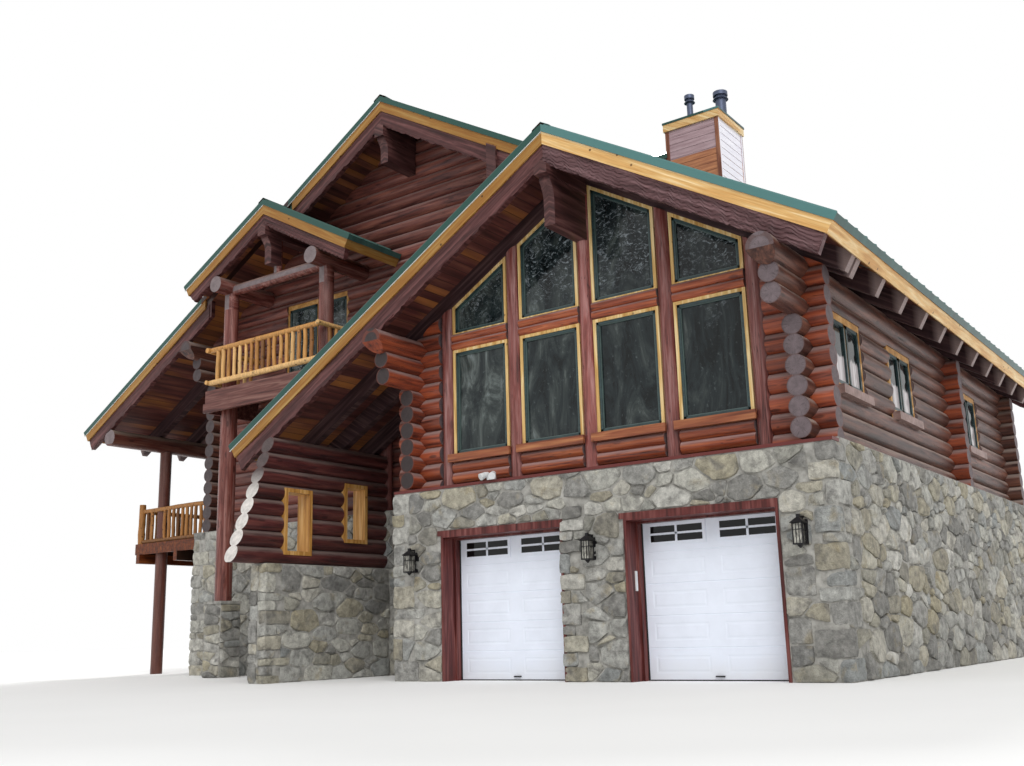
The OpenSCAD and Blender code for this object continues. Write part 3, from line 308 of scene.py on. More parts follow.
def make_finishes(colours):
    """Makes every material of the building, named for what it is."""
    # Hand-peeled logs under a red-brown varnish. The front is the reddest, the side walls are browner and more
    # weathered,
    #     and the wall under the porch roof is dark as painted shade of that roof, with pale low log ends as painted
    #     sunlight
    front = dict(deep="#351712", body=tuple(colours.front_logs), light="#a4512f", top="#8f7975", gloss=0.34)
    gable = dict(deep="#38191a", body="#6f3d36", light="#92594a", top="#8c726e", end="#5c4c4c")
    side = dict(deep="#2b1916", body=tuple(colours.side_logs), light="#764c3c", top="#96867d", end="#675b5e")
    porch = dict(deep="#2a1214", body="#4a2323", light="#71403a", top="#766661", end="#4f4342",
                 painted_sunlight=(3.35, "#d3cec9"))
    log_wood("front_log_stain", 0, -MID_Y, FRONT_COURSES, end="#5f5355", period=7.5, **front)
    log_wood("main_gable_log_stain", 0, 2.25 - MID_Y, FRONT_COURSES, **gable)
    log_wood("main_log_stain", 1, -6.35, SIDE_COURSES, **{**side, "end": "#4b4243"})
    log_wood("back_log_stain", 0, 12.35 - MID_Y, FRONT_COURSES, **side)
    log_wood("right_log_stain", 1, 9.38, SIDE_COURSES, **side)
    # The wing's left wall has darker log ends, as painted shade
    log_wood("wing_log_stain", 1, 2.02, SIDE_COURSES, end="#332a2a", **front)
    log_wood("porch_log_stain", 1, -0.65, PORCH_COURSES, **porch)
    # Posts: a redder, glossier varnish with pale rubbed streaks
    log_wood("post_stain", 2, 5.7, None, "#4a2623", "#804640", "#ab807c", "#96807a", "#6c5c5c", 1.5, 0.26)
    log_wood("balcony_post_stain", 2, -3.05, None, "#3a1815", "#66352e", "#8f635b", "#8a7269", "#75696a", 3.12, 0.26,
             8.3)
    log_wood("deck_post_stain", 2, -9.38, None, "#321714", "#5a2f27", "#785446", "#85766a", "#75696a", 100.0, 0.35,
             5.75)
    log_wood("bay_log_stain", 0, -MID_Y, FRONT_COURSES, "#54241a", "#91452a", "#b8683f", "#997c79", "#6c5c5c",
             gloss=0.3)

    # Knotty pine under a clear honey varnish
    # The fascia left of the wing's ridge is darkened as painted shade
    board_wood("honey_pine", "#c79455", tuple(colours.pine), "#efd6a6", knots=0.9, aside=(5.7, "#b09d78"))
    board_wood("cap_pine", "#c79455", "#e0ba80", "#f2deb4", knots=0.9)
    board_wood("porch_frame_pine", "#9a6a34", "#bd8a47", "#d8b077", along=2, knots=0.7)
    board_wood("window_pine", "#b98d4c", "#d6b273", "#ecd6a5", along=2, knots=0.6)
    # Rough boards hewn with an adze under a purple-brown stain
    # The barge boards left of the wing's ridge are darkened as painted shade
    board_wood("adzed_board", "#3a2223", tuple(colours.barge), "#7b5d5f", knots=0.2, gloss=0.45,
               aside=(5.7, "#dfc0b8"))
    board_wood("adzed_beam", "#2c1919", "#4a2d2c", "#6d4a47", knots=0.2, gloss=0.45)
    board_wood("adzed_tail", "#2a1b1d", "#3f2b2d", "#5d4846", knots=0.2, gloss=0.5, far=(10.0, "#8b7976"))
    # Stained joinery
    board_wood("sill_board", "#65392a", "#8e5238", "#b0764f", along=0, knots=0.55, worn="#99827a",
               low=(3.35, "#66302d"))
    board_wood("door_lining", "#3c1a18", "#602c29", "#80504b", along=2, knots=0.2)
    board_wood("deck_board", "#431d0c", "#632e12", "#7d441f", along=1, knots=0.3, board=0.14, worn="#74482c")
    board_wood("balcony_board", "#432522", "#643c36", "#846057", along=0, knots=0.3, worn="#8a7a70")
    board_wood("floor_board", "#7f5733", "#a27a4e", "#c39b6c", along=1, knots=0.5, board=0.12)
    pole_finish()
    board_wood("corner_board", "#5f3527", "#83503c", "#a87559", along=2, knots=0.3)
    sash_paint()
    frame_finish()
    stone_finish(colours)
    mortar_finish()
    roof_finish(colours)
    siding_finish()
    door_finish(colours)
    glass_finish()
    for name, colour, metal, gloss in (("lantern_black", "#232225", 0.6, 0.42), ("flue_metal", "#535b70", 0.6, 0.42),
                                       ("rubber_and_gap_shade", "#1c1c1e", 0.0, 0.7), ("pale_plastic", "#dfe1e2", 0.0, 0.4),
                                       ("drip_edge", "#dfe4e2", 0.3, 0.35), ("glazing_bead", "#4b5c59", 0.0, 0.5)):
        plain_finish(name, colour, metal, gloss)
    lamp_glass()


def plain_finish(name, colour, metal, gloss):
    """Powder-coated metal or moulded plastic: one colour with faint cloudy dirt and tiny dimples."""
    node, where, close = begin(name, Metallic=metal, Roughness=gloss)
    cloud = stretched_noise(node, where, (9.0, 9.0, 5.0), 4.0)
    shade = node("MapRange", cloud, 0.3, 0.75, 0.82, 1.12)
    tint = node("Mix MULTIPLY", 1.0, colour, shade)
    pits = stretched_noise(node, where, (300.0, 300.0, 300.0), 1.0)
    close(tint, pits, 0.0006, 0.3)


def lamp_glass():
    """Seeded lantern glass: warm white, cloudy as if pale tubes stood behind it."""
    node, where, close = begin("lantern_glass", Roughness=0.2, IOR=1.5)
    cloud = stretched_noise(node, where, (24.0, 24.0, 12.0), 3.0)
    tint = node("ValToRGB", cloud, ramp=[(0.35, "#5c5a54"), (0.65, "#c3c1b6")])
    close(tint)


def pole_finish():
    """Peeled poles under honey varnish: a tone for each pole, grain drawn out along Z, dark knots."""
    node, where, close = begin("peeled_pole", Roughness=0.46, IOR=1.38)
    tone = node("Attribute", out="Fac", attribute_name="tone")
    base = node("ValToRGB", tone, ramp=[(0.0, "#5f3d20"), (0.18, "#9a6836"), (0.55, "#c48f4f"), (1.0, "#e0b77c")])
    grain = stretched_noise(node, where, (26.0, 26.0, 3.0), 4.0)
    shade = node("MapRange", grain, 0.3, 0.7, 0.66, 1.2)
    colour = node("Mix MULTIPLY", 1.0, base, shade)
    knot = node("TexVoronoi", Vector=where, Scale=7.0, Randomness=1.0)
    knot = node("MapRange", knot, 0.10, 0.20, 0.8, 0.0)
    colour = node("Mix", knot, colour, "#3d2412")
    close(colour, grain, 0.004, 0.5)


def sash_paint():
    """Window sashes: dark blue-green paint with faint brush marks."""
    node, where, close = begin("green_sash", Roughness=0.35, IOR=1.5)
    streak = stretched_noise(node, where, (7.0, 7.0, 22.0), 4.0)
    green = node("ValToRGB", streak, ramp=[(0.3, "#17282b"), (0.7, "#2f4748")])
    close(green, streak, 0.001, 0.3)


def frame_finish():
    """Deep window frames of the side walls: honey varnish, and a grey-brown stain on the sills, which stand out
    past the logs."""
    node, where, close = begin("side_frame_pine", Roughness=0.45, IOR=1.5)
    part = node("SeparateXYZ", where, out=None).outputs
    sides = [(0, 9.492, "GREATER_THAN"), (0, -6.462, "LESS_THAN"), (1, 12.462 - MID_Y, "GREATER_THAN")]
    outside = [node("Math " + test, part[a], limit) for a, limit, test in sides]
    total = node("Math MAXIMUM", outside[0], outside[1])
    total = node("Math MAXIMUM", total, outside[2])
    streak = stretched_noise(node, where, (7.0, 7.0, 7.0), 4.0)
    pine = node("ValToRGB", streak, ramp=[(0.3, "#96652f"), (0.5, "#be8c4a"), (0.7, "#d9b27a")])
    brown = node("ValToRGB", streak, ramp=[(0.3, "#6a4f48"), (0.7, "#9c817a")])
    colour = node("Mix", total, pine, brown)
    close(colour, streak, 0.002, 0.4)


def stone_finish(colours):
    """Split field stone: warm greys with some ochre and dark stones, mottled by lichen and grains, rough to the
    eye."""
    node, where, close = begin("field_stone", Roughness=0.9, IOR=1.5)
    tone = node("Attribute", out="Fac", attribute_name="tone")
    shift = node("Math MULTIPLY", tone, 37.0)
    mottled = node("TexNoise", Vector=where, W=shift, Scale=8.0, Detail=8.0, Roughness=0.7, noise_dimensions="4D")
    blotch = node("TexNoise", Vector=where, W=shift, Scale=3.1, Detail=5.0, Distortion=0.8, noise_dimensions="4D")
    speck = stretched_noise(node, where, (70.0, 70.0, 70.0), 3.0)
    base = node("ValToRGB", tone, ramp=[
        (0.0, "#74736f"), (0.14, "#93928e"), (0.28, "#aaaaa4"), (0.40, "#bdbbb0"), (0.50, "#a39a80"),
        (0.60, "#8a8e8e"), (0.72, "#c3c1b9"), (0.82, "#a39b84"), (0.91, "#757573"), (1.0, "#cfcdc5")])
    base = node("Mix", 0.2, base, (*colours.stone, 1.0))
    # Ochre stains and dark lichen in patches of a hand's size
    rust = node("MapRange", blotch, 0.58, 0.72, 0.0, 0.5)
    base = node("Mix", rust, base, "#a0916e")
    lichen = node("MapRange", blotch, 0.44, 0.34, 0.0, 0.6)
    base = node("Mix", lichen, base, "#6d6b68")
    shade = node("MapRange", mottled, 0.30, 0.72, 0.42, 1.52)
    colour = node("Mix MULTIPLY", 1.0, base, shade)
    dust = node("MapRange", speck, 0.3, 0.7, 0.82, 1.16)
    colour = node("Mix MULTIPLY", 1.0, colour, dust)
    height = node("Math MULTIPLY_ADD", speck, 0.3, mottled)
    close(colour, height, 0.045, 1.0)


def mortar_finish():
    """Sand mortar between the stones: light grey, grainy, uneven where it was smeared."""
    node, where, close = begin("sand_mortar", Roughness=0.95, IOR=1.5)
    cloud = stretched_noise(node, where, (7.0, 7.0, 7.0), 6.0)
    sand = stretched_noise(node, where, (120.0, 120.0, 120.0), 2.0)
    colour = node("ValToRGB", cloud, ramp=[(0.3, "#75746f"), (0.5, "#9b9993"), (0.7, "#b5b3ad")])
    height = node("Math MULTIPLY_ADD", sand, 0.3, cloud)
    close(colour, height, 0.02, 0.7)


def roof_finish(colours):
    """Roof: dark green baked enamel on ribbed steel above and at the edges, red-brown stained boards with
    amber patches on the underside. The front edges carry a painted sky reflection right of the wing's ridge,
    painted shade left of it, and dark brown painted shade where the small roof covers the main roof's edge."""
    node, where, close = begin("green_roof", IOR=1.42)
    lean = node("SeparateXYZ", node("NewGeometry", out="Normal"), out=None).outputs
    under = node("MapRange", lean[2], -0.68, -0.80, 0.0, 1.0)
    dull = stretched_noise(node, where, (1.2, 3.0, 1.2), 5.0)
    metal = node("ValToRGB", dull, ramp=[(0.25, "#203c3b"), (0.5, tuple(colours.roof)), (0.8, "#406863")])
    place = node("Mapping", Vector=where, Scale=(10.0, 0.7, 10.0))
    grain = node("TexNoise", Vector=place, Scale=1.0, Detail=5.0)
    part = node("SeparateXYZ", where, out=None).outputs
    # Painted light on the edges that face the front: a painted sky reflection right of the wing's ridge, painted
    # shade left of it
    edge = node("MapRange", lean[1], -0.4, -0.8, 0.0, 1.0)
    sunny = node("Math GREATER_THAN", part[0], 5.7)
    rim = node("Mix", sunny, "#1d463e", "#4b7674")
    # The stretch of the main roof's edge that the small roof covers is painted dark brown, as painted shade under the
    # small roof
    middle = node("Math ABSOLUTE", node("Math SUBTRACT", part[0], -4.35))
    middle = node("Math LESS_THAN", middle, 1.5)
    behind = node("Math GREATER_THAN", part[1], 0.8 - MID_Y)
    behind = node("Math MULTIPLY", behind, middle)
    rim = node("Mix", behind, rim, "#341f1b")
    metal = node("Mix", edge, metal, rim)
    board = node("Math FLOOR", node("Math DIVIDE", part[0], 0.14))
    tone = node("TexWhiteNoise", W=board, noise_dimensions="1D")
    patch = stretched_noise(node, where, (1.5, 0.35, 1.5), 2.0)
    patch = node("Math MULTIPLY_ADD", tone, 0.3, patch)
    patch = node("MapRange", patch, 0.66, 0.86, 0.0, 0.75)
    wood = node("ValToRGB", grain, ramp=[(0.3, "#3c1d1b"), (0.52, "#5a2f2a"), (0.72, "#7a4a3d")])
    wood = node("Mix", patch, wood, "#98602c")
    lift = node("MapRange", tone, 0.0, 1.0, 0.75, 1.25)
    wood = node("Mix MULTIPLY", 1.0, wood, lift)
    seam = node("Math ABSOLUTE", wrapped(node, part[0], 0.07, 0.14))
    seam = node("MapRange", seam, 0.062, 0.067, 0.0, 0.8)
    wood = node("Mix", seam, wood, "#241410")
    colour = node("Mix", under, metal, wood)
    gloss = node("MapRange", under, 0.0, 1.0, 0.33, 0.55)
    height = node("Math MULTIPLY", seam, under)
    height = node("Math SUBTRACT", 1.0, height)
    close(colour, height, 0.004, 0.6, gloss)


def siding_finish():
    """Lap siding of the chimney: purple-brown stain, orange-brown on the courses near the roof, and pale on the
    side towards the sun, which is painted sunlight."""
    node, where, close = begin("lap_siding", Roughness=0.55, IOR=1.5)
    part = node("SeparateXYZ", where, out=None).outputs
    grain = stretched_noise(node, where, (2.0, 2.0, 26.0), 4.0)
    stain = node("ValToRGB", grain, ramp=[(0.3, "#92757a"), (0.7, "#b89da2")])
    warm = node("ValToRGB", grain, ramp=[(0.3, "#8b5136"), (0.7, "#c08156")])
    pale = node("ValToRGB", grain, ramp=[(0.3, "#e6e4f0"), (0.7, "#fbf9ff")])
    low = node("Math LESS_THAN", part[2], 10.92)
    colour = node("Mix", low, stain, warm)
    # Painted sunlight: the faces that look along +X are pale
    lean = node("SeparateXYZ", node("NewGeometry", out="Normal"), out=None).outputs
    painted_sunlight = node("Math GREATER_THAN", lean[0], 0.6)
    colour = node("Mix", painted_sunlight, colour, pale)
    close(colour, grain, 0.003, 0.4)


def door_finish(colours):
    """Embossed steel door: bluish-white baked enamel, faint pressed wood grain, a little road dust at the foot."""
    node, where, close = begin("door_enamel", Roughness=0.38, IOR=1.5)
    grain = stretched_noise(node, where, (4.0, 90.0, 90.0), 3.0)
    part = node("SeparateXYZ", where, out=None).outputs
    cloud = stretched_noise(node, where, (2.5, 2.5, 2.5), 4.0)
    dust = node("Math MULTIPLY_ADD", cloud, -0.55, part[2])
    dust = node("MapRange", dust, -0.25, 0.15, 0.35, 0.0)
    plain = node("MapRange", cloud, 0.3, 0.7, 0.95, 1.03)
    colour = node("Mix MULTIPLY", 1.0, (*colours.doors, 1.0), plain)
    colour = node("Mix", dust, colour, "#b9b4ac")
    close(colour, grain, 0.0008, 0.35)


def glass_finish():
    """Window glass over dark rooms, coloured with a painted reflection: green-grey like the trees it mirrors, lighter
    towards the house's left, with small bright flecks, painted glints of sky higher up and a sharp gloss. The
    dark rooms are painted shade, near black in the garage doors' panes. Pale curtains hang low in the windows of
    the right wall."""
    node, where, close = begin("window_glass", Roughness=0.05, IOR=1.36)
    part = node("SeparateXYZ", where, out=None).outputs
    # Painted reflection of the trees, lighter towards the house's left
    patch = stretched_noise(node, where, (2.4, 2.4, 0.9), 7.0, 0.7, 0.9)
    slope = node("MapRange", part[0], 2.5, 9.0, 0.07, -0.09)
    slope = node("Math ADD", patch, slope)
    colour = node("ValToRGB", slope, ramp=[
        (0.38, "#0a1011"), (0.48, "#1d2527"), (0.57, "#333a39"), (0.66, "#59615f"), (0.76, "#838d90")])
    # Painted reflection: small bright flecks among the trees
    fleck = stretched_noise(node, where, (16.0, 16.0, 11.0), 5.0, 0.75)
    fleck = node("MapRange", fleck, 0.60, 0.72, 0.0, 0.55)
    colour = node("Mix", fleck, colour, "#6a7474")
    # Painted reflection: the sky glints between branches in the upper panes
    glint = stretched_noise(node, where, (9.0, 9.0, 12.0), 7.0, 0.8, 1.4)
    glint = node("MapRange", glint, 0.53, 0.61, 0.0, 0.62)
    tree_top = stretched_noise(node, where, (1.3, 1.3, 1.3), 2.0)
    tree_top = node("Math MULTIPLY_ADD", tree_top, 3.0, part[2])
    tree_top = node("MapRange", tree_top, 7.4, 8.5)
    glint = node("Math MULTIPLY", glint, tree_top)
    colour = node("Mix", glint, colour, "#a6b1b8")
    # Painted shade: the garage doors' panes are near black, for the dark room behind them
    garage = node("Math LESS_THAN", part[2], 3.0)
    colour = node("Mix", garage, colour, "#0c0e0f")
    fold = stretched_noise(node, where, (9.0, 9.0, 0.4), 3.0)
    cloth = node("ValToRGB", fold, ramp=[(0.35, "#8d8787"), (0.6, "#d3cccd")])
    hem = node("Math MULTIPLY_ADD", fold, 0.3, part[2])
    hem = node("MapRange", hem, 4.98, 5.02, 1.0, 0.0)
    side = node("Math GREATER_THAN", part[0], 9.2)
    hem = node("Math MULTIPLY", hem, side)
    colour = node("Mix", hem, colour, cloth)
    close(colour)


def shells(front, back):
    """Closed slabs. front and back are k by n by m grids of points: each solid is the front grid, the back grid
    turned round, and the strip of quads that joins their borders."""
    k, n, m = front.shape[:3]
    i = np.arange(n * m).reshape(n, m)
    quads = np.stack([i[:-1, :-1], i[1:, :-1], i[1:, 1:], i[:-1, 1:]], -1).reshape(-1, 4)
    rim = np.concatenate([i[0, :-1], i[:-1, -1], i[-1, :0:-1], i[:0:-1, 0]])
    strip = np.stack([rim, np.roll(rim, -1), np.roll(rim, -1) + n * m, rim + n * m], -1)
    faces = np.concatenate([quads, quads[:, ::-1] + n * m, strip])
    faces = (faces + np.arange(k)[:, None, None] * 2 * n * m).reshape(-1, 4)
    points = np.concatenate([front.reshape(k, -1, 3), back.reshape(k, -1, 3)], 1).reshape(-1, 3)
    return points, [faces]


def bars(low, high):
    """Boxes between opposite corners; low and high are k by 3, or one corner each."""
    low, high = np.broadcast_arrays(np.atleast_2d(np.asarray(low, float)), np.atleast_2d(np.asarray(high, float)))
    pick = np.array([[0, 0, 0], [1, 0, 0], [1, 1, 0], [0, 1, 0], [0, 0, 1], [1, 0, 1], [1, 1, 1], [0, 1, 1]])
    points = low[:, None] * (1 - pick) + high[:, None] * pick
    return blocks(points)


def blocks(points):
    """Solids with eight corners each: the first four go round the foot, the others lie above them."""
    points = np.asarray(points, float).reshape(-1, 8, 3)
    sides = np.array([[3, 2, 1, 0], [4, 5, 6, 7], [0, 1, 5, 4], [1, 2, 6, 5], [2, 3, 7, 6], [3, 0, 4, 7]])
    return points.reshape(-1, 3), [(sides + np.arange(len(points))[:, None, None] * 8).reshape(-1, 4)]


def tubes(path, radius, sides=12):
    """Round poles. path is k by n points, radius is k by n or k by n by sides: each point of a ring is the path's
    point plus radius times (cos t, sin t) in the plane square to the pole. The ends are closed."""
    path = np.asarray(path, float)
    k, n = path.shape[:2]
    radius = np.asarray(radius, float)
    radius = np.broadcast_to(radius if radius.ndim == 3 else radius.reshape(k, n, 1), (k, n, sides))
    along = path[:, -1] - path[:, 0]
    along /= np.linalg.norm(along, axis=1, keepdims=True)
    helper = np.where(np.abs(along[:, 2:3]) < 0.8, [[0.0, 0.0, 1.0]], [[1.0, 0.0, 0.0]])
    u = np.cross(along, helper)
    u /= np.linalg.norm(u, axis=1, keepdims=True)
    v = np.cross(along, u)
    t = TAU * np.arange(sides) / sides
    ring = np.cos(t)[:, None] * u[:, None, None] + np.sin(t)[:, None] * v[:, None, None]
    points = path[:, :, None] + radius[..., None] * ring
    i = np.arange(n * sides).reshape(n, sides)
    j = np.roll(i, -1, 1)
    quads = np.stack([i[:-1], j[:-1], j[1:], i[1:]], -1).reshape(-1, 4)
    caps = np.stack([i[0, ::-1], i[-1]])
    step = np.arange(k)[:, None, None] * n * sides
    return points.reshape(-1, 3), [(quads + step).reshape(-1, 4), (caps + step).reshape(-1, sides)]


def joined(parts):
    """Puts several shapes into one list of points and one list of face arrays."""
    points, faces, first = [], [], 0
    for p, fs in parts:
        faces += [f + first for f in fs]
        points.append(p)
        first += len(p)
    return np.concatenate(points), faces


def toned(made):
    """Joins shapes that come with a tone for each point into one shape, and their tones into one list."""
    return joined([m[:2] for m in made]), np.concatenate([m[2] for m in made])


def piece(name, shape, look, tone=None, stands_for=(), smooth=None):
    """Puts a shape into a new object of the building, with its material, slot and the tone of each point."""
    points, faces = shape
    points = np.array(points, float)
    points[:, 1] -= MID_Y
    mesh = bpy.data.meshes.new(name)
    sizes = np.concatenate([np.full(len(f), f.shape[1]) for f in faces])
    loops = np.concatenate([f.ravel() for f in faces])
    mesh.vertices.add(len(points))
    mesh.vertices.foreach_set("co", points.ravel())
    mesh.loops.add(len(loops))
    mesh.loops.foreach_set("vertex_index", loops.astype(np.int32))
    mesh.polygons.add(len(sizes))
    mesh.polygons.foreach_set("loop_start", np.concatenate([[0], np.cumsum(sizes)[:-1]]).astype(np.int32))
    mesh.update(calc_edges=True)
    solid = bmesh.new()
    solid.from_mesh(mesh)
    bmesh.ops.recalc_face_normals(solid, faces=solid.faces)
    solid.to_mesh(mesh)
    solid.free()
    if tone is not None:
        mesh.attributes.new("tone", "FLOAT", "POINT").data.foreach_set("value", np.asarray(tone, np.float32))
    if smooth:
        mesh.shade_smooth()
        mesh.set_sharp_from_angle(angle=math.radians(smooth))
    else:
        mesh.shade_flat()
    if mesh.validate():
        raise RuntimeError("the mesh of " + name + " had faults")
    mesh.materials.append(finish(look))
    thing = bpy.data.objects.new(name, mesh)
    bpy.context.scene.collection.objects.link(thing)
    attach(thing, "root")
    if stands_for:
        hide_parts(*stands_for)
    return thing


def finish(name):
    """One of the building's materials."""
    return bpy.data.materials[name]


def roof_z(roof, x):
    """Height of a roof's top surface: the ridge's height less the rise times the distance from the ridge."""
    return roof[1] - roof[2] * np.abs(np.asarray(x, float) - roof[0])


def on_roof(roof, foot, lift, rise):
    """Corners of a solid that follows a roof: x and y of its foot, and its height over the roof and thickness."""
    low = [(px, py, roof_z(roof, px) + lift) for px, py in foot]
    return low + [(px, py, pz + rise) for px, py, pz in low]


def rubble(rng, origin, across, out, width, height, size, joint, relief, holes=(), proud=(), drawn=1.75):
    """Rubble stones on a wall. Seeds are spread, drawn out sideways, and each stone is the space nearer to its
    own seed than to any other, large stones counting as nearer: along a direction t its edge lies at the
    smallest of h / cos(t - f) over its neighbours, with h half the way to a neighbour and f the direction to
    it, less half a joint. A high power sum rounds its corners. Rings of this outline, smaller and further
    out, give the stone's dressed face. proud lists areas, as holes does, with how much further their stones
    stand out."""
    stretch = np.array([drawn, 1.0])
    sides, corner_power = 26, 46

    def within(p, area):
        return (p[:, 0] > area[0]) & (p[:, 0] < area[1]) & (p[:, 1] > area[2]) & (p[:, 1] < area[3])

    def free(p):
        return p[~np.any([within(p, area) for area in holes], 0)] if len(holes) else p

    fields = int(width * height / size ** 2)
    probes = free(rng.random((fields * 30, 2)) * [width, height])
    count = int(fields / drawn * len(probes) / (fields * 30))
    seeds = free(rng.random((count * 4, 2)) * [width, height])[:max(1, count)]
    weight = rng.random(len(seeds)) ** 2 * (size * 1.15) ** 2
    for _ in range(2):
        owner = np.empty(len(probes), int)
        for i in range(0, len(probes), 4000):
            d = (probes[i:i + 4000, None] - seeds[None]) / stretch
            owner[i:i + 4000] = np.argmin((d ** 2).sum(-1) - weight, 1)
        total = np.bincount(owner, minlength=len(seeds))
        sums = np.stack([np.bincount(owner, probes[:, a], len(seeds)) for a in (0, 1)], 1)
        seeds[total > 0] = sums[total > 0] / total[total > 0, None]
    gap = (seeds[None] - seeds[:, None]) / stretch
    far = (gap ** 2).sum(-1)
    np.fill_diagonal(far, 1e9)
    near = np.argsort(far, 1)[:, :min(18, len(seeds) - 1)]
    gap = np.take_along_axis(gap, near[..., None], 1)
    away = np.sqrt((gap ** 2).sum(-1))
    half = (away ** 2 + weight[:, None] - weight[near]) / (2 * away)
    normal = gap / away[..., None] / stretch
    long = np.linalg.norm(normal, axis=-1)
    half = half / long
    normal = normal / long[..., None]
    walls = np.array([[-1, 0], [1, 0], [0, -1], [0, 1]], float)
    edge = np.stack([seeds[:, 0], width - seeds[:, 0], seeds[:, 1], height - seeds[:, 1]], 1)
    for x0, x1, z0, z1 in holes:
        room = np.stack([x0 - seeds[:, 0], seeds[:, 0] - x1, z0 - seeds[:, 1], seeds[:, 1] - z1], 1)
        best = np.argmax(room, 1)
        facing = np.array([[1, 0], [-1, 0], [0, 1], [0, -1]], float)[best]
        normal = np.concatenate([normal, facing[:, None]], 1)
        half = np.concatenate([half, np.take_along_axis(room, best[:, None], 1)], 1)
    normal = np.concatenate([normal, np.broadcast_to(walls, (len(seeds), 4, 2))], 1)
    half = np.concatenate([half, edge], 1) - joint * rng.uniform(0.25, 0.8, (len(seeds), 1))
    keep = half.min(1) > 0.018
    seeds, normal, half = seeds[keep], normal[keep], half[keep]
    t = TAU * np.arange(sides) / sides + rng.random((len(seeds), 1)) * 0.3
    ray = np.stack([np.cos(t), np.sin(t)], -1)
    lean = np.einsum("ksc,knc->ksn", ray, normal)
    reach = (np.clip(lean, 0, None) / half[:, None]) ** corner_power
    radius = reach.sum(-1) ** (-1 / corner_power) * (1 - 0.06 * rng.random(t.shape))
    # Rings: foot sunk in the mortar, shoulder, face, and the middle point
    scale = np.array([1.0, 0.94, 0.68])
    lift = np.array([0.0, 0.72, 1.0])
    stand = relief * rng.uniform(0.5, 1.5, (len(seeds), 1, 1))
    for area in proud:
        stand = stand + area[4] * within(seeds, area)[:, None, None]
    tilt = rng.standard_normal((len(seeds), 1, 2)) * 0.09
    flat = seeds[:, None, None] + radius[:, None, :, None] * scale[:, None, None] * ray[:, None]
    rough = rng.standard_normal((len(seeds), 3, sides)) * np.array([0.0, 0.004, 0.005])[:, None]
    rise = lift[:, None] * (stand + rough) + np.where(lift > 0, 0.0, -0.01)[:, None]
    slant = ((flat - seeds[:, None, None]) * tilt[:, None]).sum(-1)
    rise += lift[:, None] * np.clip(slant, -0.6 * stand, stand)
    middle = stand[:, 0] + 0.003
    up = np.array([0.0, 0.0, 1.0])
    origin, across, out = (np.asarray(v, float) for v in (origin, across, out))

    def placed(p, r):
        return origin + p[..., :1] * across + p[..., 1:] * up + r[..., None] * out

    rings = placed(flat, rise).reshape(len(seeds), -1, 3)
    points = np.concatenate([rings, placed(seeds[:, None], middle)], 1)
    i = np.arange(3 * sides).reshape(3, sides)
    j = np.roll(i, -1, 1)
    quads = np.stack([i[:-1], j[:-1], j[1:], i[1:]], -1).reshape(-1, 4)
    fan = np.stack([i[2], j[2], np.full(sides, 3 * sides)], -1)
    back = i[0, ::-1][None]
    step = np.arange(len(seeds))[:, None, None] * (3 * sides + 1)
    faces = [(f + step).reshape(-1, f.shape[1]) for f in (quads, fan, back)]
    tone = np.repeat(rng.random(len(seeds)), 3 * sides + 1)
    return points.reshape(-1, 3), faces, tone


def boulders(rng, low, high, rough=0.009):
    """Squared stones between opposite corners: the surface of a cube of 5 by 5 by 5 fields, each point divided by
    its tenth-power length so that the edges turn round, and moved by slow sines and a little noise."""
    low, high = np.asarray(low, float), np.asarray(high, float)
    n = 5
    cell = np.stack(np.meshgrid(*[np.arange(n)] * 2, indexing="ij"), -1).reshape(-1, 2)
    corner = cell[:, None] + np.array([[0, 0], [1, 0], [1, 1], [0, 1]])
    corners = np.concatenate([np.insert(corner, axis, value, 2) for axis in range(3) for value in (0, n)])
    unique, faces = np.unique(corners.reshape(-1, 3), axis=0, return_inverse=True)
    faces = faces.reshape(-1, 4)
    cube = unique / n * 2 - 1
    ball = cube / (np.abs(cube) ** 10).sum(-1, keepdims=True) ** 0.1
    k = len(low)
    middle, size = (low + high) / 2, (high - low) / 2
    points = middle[:, None] + size[:, None] * ball
    phase = rng.random((k, 1, 3)) * TAU
    points = points + rough * np.sin(points[..., [1, 2, 0]] * 17 + phase)
    points += rng.standard_normal(points.shape) * rough * 0.4
    points = np.clip(points, low[:, None] - 0.004, high[:, None] + 0.004)
    step = np.arange(k)[:, None, None] * len(unique)
    return points.reshape(-1, 3), [(faces + step).reshape(-1, 4)], np.repeat(rng.random(k), len(unique))


def corner_stack(rng, height, low=0.13, high=0.42):
    """Stones that turn a corner: the heights between them, and their reach along both walls, long and short by
    turns."""
    z = np.concatenate([[0.0], np.cumsum(rng.uniform(low, high, 60))])
    z = np.append(z[z < height - low], height)
    count = len(z) - 1
    long, short = rng.uniform(0.32, 0.60, count), rng.uniform(0.15, 0.27, count)
    turn = (np.arange(count) + rng.integers(2)) % 2
    return z, np.where(turn, long, short), np.where(turn, short, long)


def length_value(name, default, low, high, description):
    """A length that a user may change, in metres."""
    return FloatProperty(name=name, description=description, default=default, min=low, max=high, unit="LENGTH")


def colour_value(name, default, description):
    """A colour that a user may change."""
    return FloatVectorProperty(name=name, description=description, default=srgb(default), size=3,
                               subtype="COLOR", min=0, max=1)


